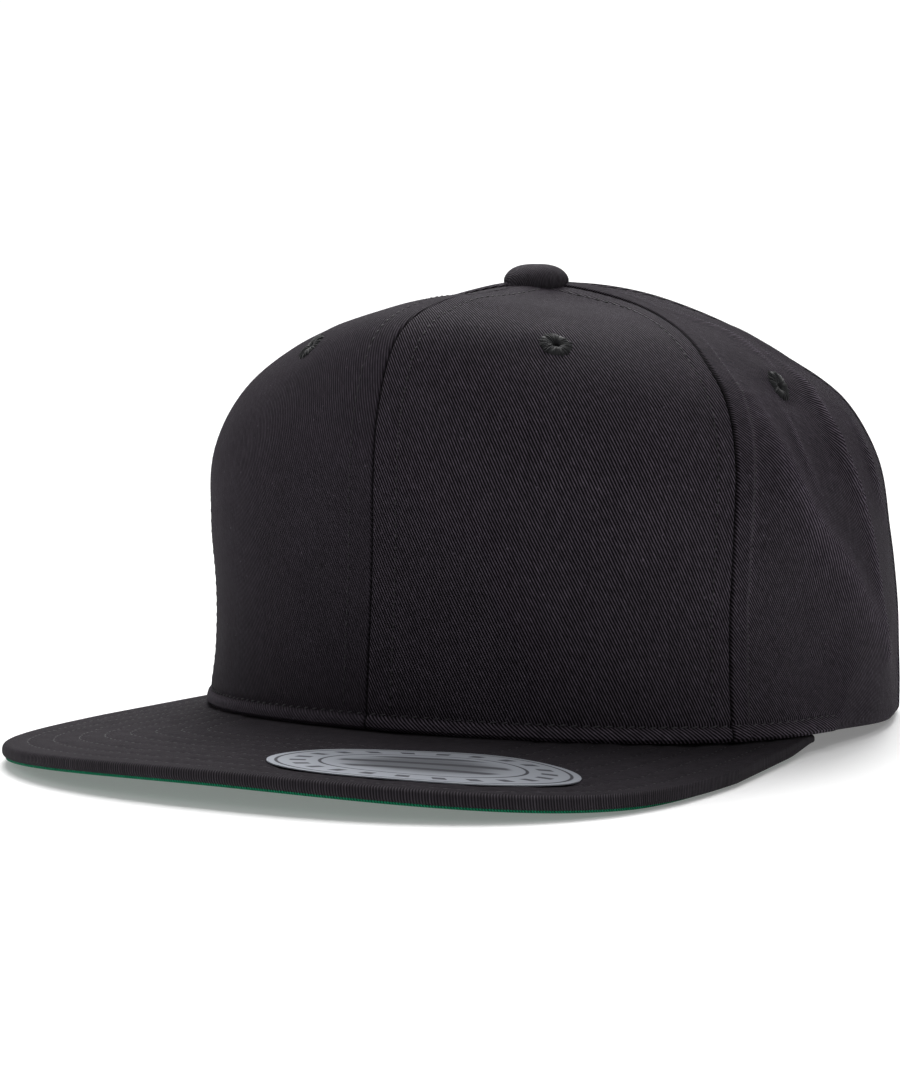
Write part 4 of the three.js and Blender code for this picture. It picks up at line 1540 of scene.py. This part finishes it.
class CAP_OT_eyelets(bpy.types.Operator):
    """Sews the six eyelets with radial threads"""

    bl_idname = "cap.eyelets"
    bl_label = "Eyelets"

    def execute(self, context):
        thread = thread_finish("eyelet_thread", colours().eyelet)
        for seed, (name, place) in enumerate(EYELETS.items()):
            piece = join(f"{name}_sewn", [self.ring(), self.threads(seed)])
            points = vertex_places(piece)
            kind = name.split("_")[1]
            centre = panel_point(kind, np.array(float(place[0])), np.array(float(place[1])))
            normal = cloth_normal(kind, place)
            side = unit(np.cross([0, 0, 1.0], normal))
            up = np.cross(normal, side)
            place_vertices(piece, centre + points @ np.stack([side, up, normal]))
            smooth(piece, 80)
            dress(piece, thread, "eyelet_thread", name)
        return {"FINISHED"}

    def ring(self):
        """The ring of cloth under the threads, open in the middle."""
        trim = trim_sizes()
        ring, u, v = grid("ring", 36, 10)
        turn, section = math.tau * u, math.tau * v
        middle = (trim.eyelet_radius + trim.eyelet_bore) / 2
        half = (trim.eyelet_radius - trim.eyelet_bore) / 2
        radius = middle - 0.92 * half * np.cos(section)
        above, below, sunk = 0.75 * MM, 1.2 * MM, 0.35 * MM
        height = np.where(np.sin(section) < 0, below, above) * np.sin(section) - sunk
        place_vertices(ring, np.stack([radius * np.cos(turn), radius * np.sin(turn), height], -1))
        close_up(ring)
        return ring

    def threads(self, seed):
        """Radial threads over the ring, of uneven length."""
        trim = trim_sizes()
        steps = 7
        thread, u, v = grid("thread", steps, 5)
        # Shares of the way from the bore to the edge, and heights in millimetres
        path = smooth_line([(0.02, -0.9), (0.1, 0.0), (0.42, 0.42), (0.78, 0.28), (1.0, -0.12)], steps + 1)
        place = np.rint(u * steps).astype(int)
        thin = trim.eyelet_thread * (1 - 0.35 * (2 * u - 1) ** 4)
        span = trim.eyelet_radius - trim.eyelet_bore
        out = trim.eyelet_bore + span * path[place, 0]
        points = np.stack(
            [out, thin * np.cos(math.tau * v), path[place, 1] * MM + thin * np.sin(math.tau * v)], -1
        )
        place_vertices(thread, points)
        close_up(thread, 0.005 * MM)
        many = trim.eyelet_threads
        random = np.random.default_rng(40 + seed)
        turns = (np.arange(many) + random.normal(0, 0.3, many)) * math.tau / many
        skew = random.normal(0, 0.12, many)
        zero, one = np.zeros(many), np.ones(many)
        out_axis = np.stack([np.cos(turns), np.sin(turns), zero], -1)
        side_axis = np.stack([-np.sin(turns + skew), np.cos(turns + skew), zero], -1)
        axes = np.stack([out_axis, side_axis, np.stack([zero, zero, one], -1)], 1)
        scales = np.stack([random.uniform(0.84, 1.08, many), one, random.uniform(0.8, 1.2, many)], -1)
        return copies("threads", thread, np.zeros((many, 3)), axes, scales)


# Climbs at the middle of the sweatband and of the strap
BAND_CLIMB = 8
STRAP_CLIMB = 5


def band_places(u, v, start, end, lift, height, depth):
    """A band along the inside of the rim between two azimuths."""
    crown = crown_sizes()
    low = math.degrees(math.asin(lift / crown.height))
    high = math.degrees(math.asin((lift + height) / crown.height))
    azimuth = start + (end - start) * u
    return azimuth, wall_point(azimuth, low + (high - low) * v, depth(azimuth))


class CAP_OT_sweatband(bpy.types.Operator):
    """Fits the sweatband inside the rim"""

    bl_idname = "cap.sweatband"
    bl_label = "Sweatband"

    def execute(self, context):
        trim, crown = trim_sizes(), crown_sizes()
        end, height = trim.band_end, trim.band_height - 2 * peak_sizes().gap

        def depth(azimuth):
            return np.full_like(azimuth, crown.front_cloth + crown.inside_gap)

        piece, u, v = grid("sweatband_cloth", 260, 16)
        azimuth, points = band_places(u, v, -end, end, trim.band_lift, height, depth)
        sag = 0.25 * MM * waves(points, 26 * MM, seed=31) * v
        inward = -crown_normal(azimuth, np.full_like(azimuth, BAND_CLIMB))
        points += inward * np.maximum(sag + 0.1 * MM, 0)[:, None]
        place_vertices(piece, points)
        rim_degree = 1.55 * MM
        set_weave(piece, azimuth * rim_degree, v * trim.band_height)
        flip_if_inward(piece, -inward)
        thicken(piece, 0.9 * trim.band_thickness)
        smooth(piece)
        cloth = twill("band_cloth", colours().twill, RIB_LEAN["band"], pitch=0.7 * MM)
        dress(piece, cloth, "band_cloth", "sweatband")
        return {"FINISHED"}


class CAP_OT_straps(bpy.types.Operator):
    """Moulds the two halves of the snap strap"""

    bl_idname = "cap.straps"
    bl_label = "Snap Strap"

    def execute(self, context):
        crown, trim, peak = crown_sizes(), trim_sizes(), peak_sizes()
        behind = 180.0
        gap = peak.gap
        thickness = trim.strap_thickness
        arch = behind - math.degrees(math.asin(crown.arch_half_width / crown.half_width))
        tuck = trim.strap_tuck / float(per_degree(np.array(arch), np.array(0.0)))
        step = trim.snap_pitch / float(per_degree(np.array(behind), np.array(0.0)))
        places = 2 * trim.snaps - trim.snaps_joined
        margin = trim.strap_margin / trim.snap_pitch * step
        outer = crown.side_cloth + crown.inside_gap
        inner = outer + thickness + gap
        snap = [behind + (index - (places - 1) / 2) * step for index in range(places)]
        outer_end = snap[trim.snaps - 1] + margin
        inner_end = snap[places - trim.snaps] - margin
        far_end = 2 * behind - arch + tuck

        def peg_depth(azimuth):
            back_out = ease(azimuth, outer_end + step / 2, far_end - tuck / 2)
            return inner + (outer - inner) * back_out

        def hole_depth(azimuth):
            return np.full_like(azimuth, outer)

        plastic = plastic_finish("black_plastic", colours().plastic)
        holes = self.strap("strap_holes_plastic", arch - tuck, outer_end, hole_depth, thickness)
        reach, sides = 6 * MM, 28
        for azimuth in snap[: trim.snaps]:
            place, normal = self.snap_frame(azimuth, outer)
            cut_away(holes, round_bar(place, normal, trim.snap_radius, reach, sides))
        self.soften(holes)
        dress(holes, plastic, "strap_plastic", "strap_holes")
        pegs = self.strap("strap_pegs_plastic", inner_end, far_end, peg_depth, thickness)
        self.soften(pegs)
        head = thickness / 2 + gap + thickness + trim.snap_proud
        studs = []
        for azimuth in snap[places - trim.snaps :]:
            depth = float(peg_depth(np.array(azimuth))) + thickness / 2
            studs.append(self.peg(azimuth, depth, head))
        pegs = join("strap_pegs_plastic", [pegs, *studs])
        smooth(pegs, 40)
        dress(pegs, plastic, "strap_plastic", "strap_pegs")
        return {"FINISHED"}

    def strap(self, name, start, end, depth, thickness):
        trim = trim_sizes()
        piece, u, v = grid(name, 110, 8)
        azimuth, points = band_places(u, v, start, end, trim.strap_lift, trim.strap_height, depth)
        place_vertices(piece, points)
        flip_if_inward(piece, crown_normal(azimuth, np.full_like(azimuth, STRAP_CLIMB)))
        thicken(piece, thickness)
        return piece

    def soften(self, piece):
        sharp = 40
        limit = {"limit_method": "ANGLE", "angle_limit": math.radians(sharp)}
        modify(piece, "BEVEL", width=trim_sizes().strap_round, segments=2, **limit)
        smooth(piece, sharp)

    def snap_frame(self, azimuth, depth):
        """The middle of a snap at a depth inside the crown, and which way it faces."""
        crown, trim = crown_sizes(), trim_sizes()
        climb = math.degrees(math.asin((trim.strap_lift + trim.strap_height / 2) / crown.height))
        place = wall_point(np.array(azimuth), np.array(climb), np.array(depth))
        return place, crown_normal(azimuth, climb)

    def peg(self, azimuth, depth, height):
        """A peg with a waist and a rounded head."""
        trim = trim_sizes()
        radius = trim.snap_radius - trim.snap_clearance
        place, normal = self.snap_frame(azimuth, depth)
        rows = 12
        peg, u, v = grid("peg", 28, rows)
        # Shares of its radius and of its height
        waist = [(0.95, 0), (0.82, 0.25), (0.82, 0.6)]
        head = [(1.0, 0.76), (0.98, 0.88), (0.7, 0.98), (0.0, 1.0)]
        share = smooth_line(waist + head, rows + 1)[np.rint(v * rows).astype(int)]
        turn = math.tau * u
        out = np.maximum(share[:, 0], 0) * radius
        local = np.stack([out * np.cos(turn), out * np.sin(turn), share[:, 1] * height], -1)
        side = unit(np.cross([0, 0, 1.0], normal))
        place_vertices(peg, place + local @ np.stack([side, np.cross(normal, side), normal]))
        close_up(peg)
        return peg


Sun = namedtuple("Sun", "name strength spread towards")
Softbox = namedtuple("Softbox", "name power size place")

# The wide suns, with their spread in degrees and the direction they stand in, and the softboxes, with
# their power in watts and their width and place in metres
SUNS = (
    Sun("overhead", 2.6, 45, (-0.25, 0.35, 1.0)),
    Sun("rear_key", 1.8, 35, (-0.5, 1.1, 1.0)),
)
SOFTBOXES = (
    Softbox("left_softbox", 2.5, 0.7, (-1.2, -0.1, 0.5)),
    Softbox("front_softbox", 2, 1.0, (0.35, -1.2, 0.8)),
    Softbox("right_softbox", 3, 0.5, (0.9, 0.0, 1.4)),
)
LIT_HEIGHT = 60 * MM


class CAP_OT_stage(bpy.types.Operator):
    """Sets the floor, the soft studio lights and the camera"""

    bl_idname = "cap.stage"
    bl_label = "Stage"

    def execute(self, context):
        stage = context.scene.cap_stage
        bpy.ops.object.select_all(action="DESELECT")
        bpy.ops.mesh.primitive_plane_add(size=stage.floor_size, location=(0, 0, CAD_BOX[0].z))
        floor = named("floor")
        matt = plain_finish("pale_floor", colours().floor, stage.floor_roughness, stage.floor_glow)
        floor.data.materials.append(matt)
        self.camera(context, stage)
        self.room(context, stage)
        for lamp in SUNS:
            self.sun(context, lamp)
        for lamp in SOFTBOXES:
            self.softbox(context, lamp)
        context.scene.view_settings.view_transform = "Standard"
        return {"FINISHED"}

    def camera(self, context, stage):
        a, e = stage.azimuth, stage.elevation
        towards = Vector((math.sin(a) * math.cos(e), -math.cos(a) * math.cos(e), math.sin(e)))
        right = Vector((math.cos(a), math.sin(a), 0))
        up = right.cross(-towards)
        target = Vector((0, head_middle(), stage.target_height))
        data = bpy.data.cameras.new("camera")
        camera = bpy.data.objects.new("camera", data)
        context.scene.collection.objects.link(camera)
        camera.location = target + towards * stage.distance
        aim = target - right * stage.aim_aside - up * stage.aim_down
        camera.rotation_mode = "QUATERNION"
        camera.rotation_quaternion = (aim - camera.location).to_track_quat("-Z", "Y")
        data.lens = stage.lens
        data.sensor_width = stage.film
        data.clip_start = 50 * MM
        context.scene.camera = camera

    def room(self, context, stage):
        """Even light from all round, brighter where the camera sees it as the backdrop."""
        world = bpy.data.worlds.new("studio")
        context.scene.world = world
        world.use_nodes = True
        nodes, links = world.node_tree.nodes, world.node_tree.links
        background = nodes["Background"]
        background.inputs["Color"].default_value = (1, 1, 1, 1)
        seen = nodes.new("ShaderNodeLightPath")
        strength = nodes.new("ShaderNodeMapRange")
        strength.inputs["To Min"].default_value = stage.room_light
        strength.inputs["To Max"].default_value = stage.backdrop
        links.new(seen.outputs["Is Camera Ray"], strength.inputs["Value"])
        links.new(strength.outputs["Result"], background.inputs["Strength"])

    def light(self, context, name, data, towards):
        light = bpy.data.objects.new(name, data)
        light.rotation_mode = "QUATERNION"
        light.rotation_quaternion = Vector(towards).to_track_quat("Z", "Y")
        context.scene.collection.objects.link(light)
        return light

    def sun(self, context, lamp):
        data = bpy.data.lights.new(lamp.name, "SUN")
        data.energy = lamp.strength
        data.angle = math.radians(lamp.spread)
        self.light(context, lamp.name, data, lamp.towards)

    def softbox(self, context, lamp):
        data = bpy.data.lights.new(lamp.name, "AREA")
        data.shape = "DISK"
        data.size = lamp.size
        data.energy = lamp.power
        lit = Vector((0, 0, LIT_HEIGHT))
        self.light(context, lamp.name, data, Vector(lamp.place) - lit).location = lamp.place


STEPS = (
    CAP_OT_stage,
    CAP_OT_panels,
    CAP_OT_crown_stitches,
    CAP_OT_peak,
    CAP_OT_peak_stitches,
    CAP_OT_label,
    CAP_OT_button,
    CAP_OT_eyelets,
    CAP_OT_sweatband,
    CAP_OT_straps,
)


class CAP_PT_sidebar(bpy.types.Panel):
    """Lists the cap's sizes and its pieces"""

    bl_idname = "CAP_PT_sidebar"
    bl_label = "Snapback Cap"
    bl_space_type = "VIEW_3D"
    bl_region_type = "UI"
    bl_category = "Cap"

    def draw(self, context):
        for group in SETTINGS:
            box = self.layout.box()
            for name in SETTINGS[group].__annotations__:
                box.prop(getattr(context.scene, group), name)
        for step in STEPS:
            self.layout.operator(step.bl_idname)


SETTINGS = {
    "cap_crown": CapCrownSizes,
    "cap_peak": CapPeakSizes,
    "cap_trim": CapTrimSizes,
    "cap_colours": CapColours,
    "cap_stage": CapStageSizes,
}
CLASSES = (*SETTINGS.values(), *STEPS, CAP_PT_sidebar)


def register():
    for cls in CLASSES:
        bpy.utils.register_class(cls)
    for name, group in SETTINGS.items():
        setattr(bpy.types.Scene, name, bpy.props.PointerProperty(type=group))


def unregister():
    for name in SETTINGS:
        delattr(bpy.types.Scene, name)
    for cls in reversed(CLASSES):
        bpy.utils.unregister_class(cls)


def main():
    register()
    for step in STEPS:
        group, name = step.bl_idname.split(".")
        getattr(getattr(bpy.ops, group), name)()


if __name__ == "__main__":
    main()
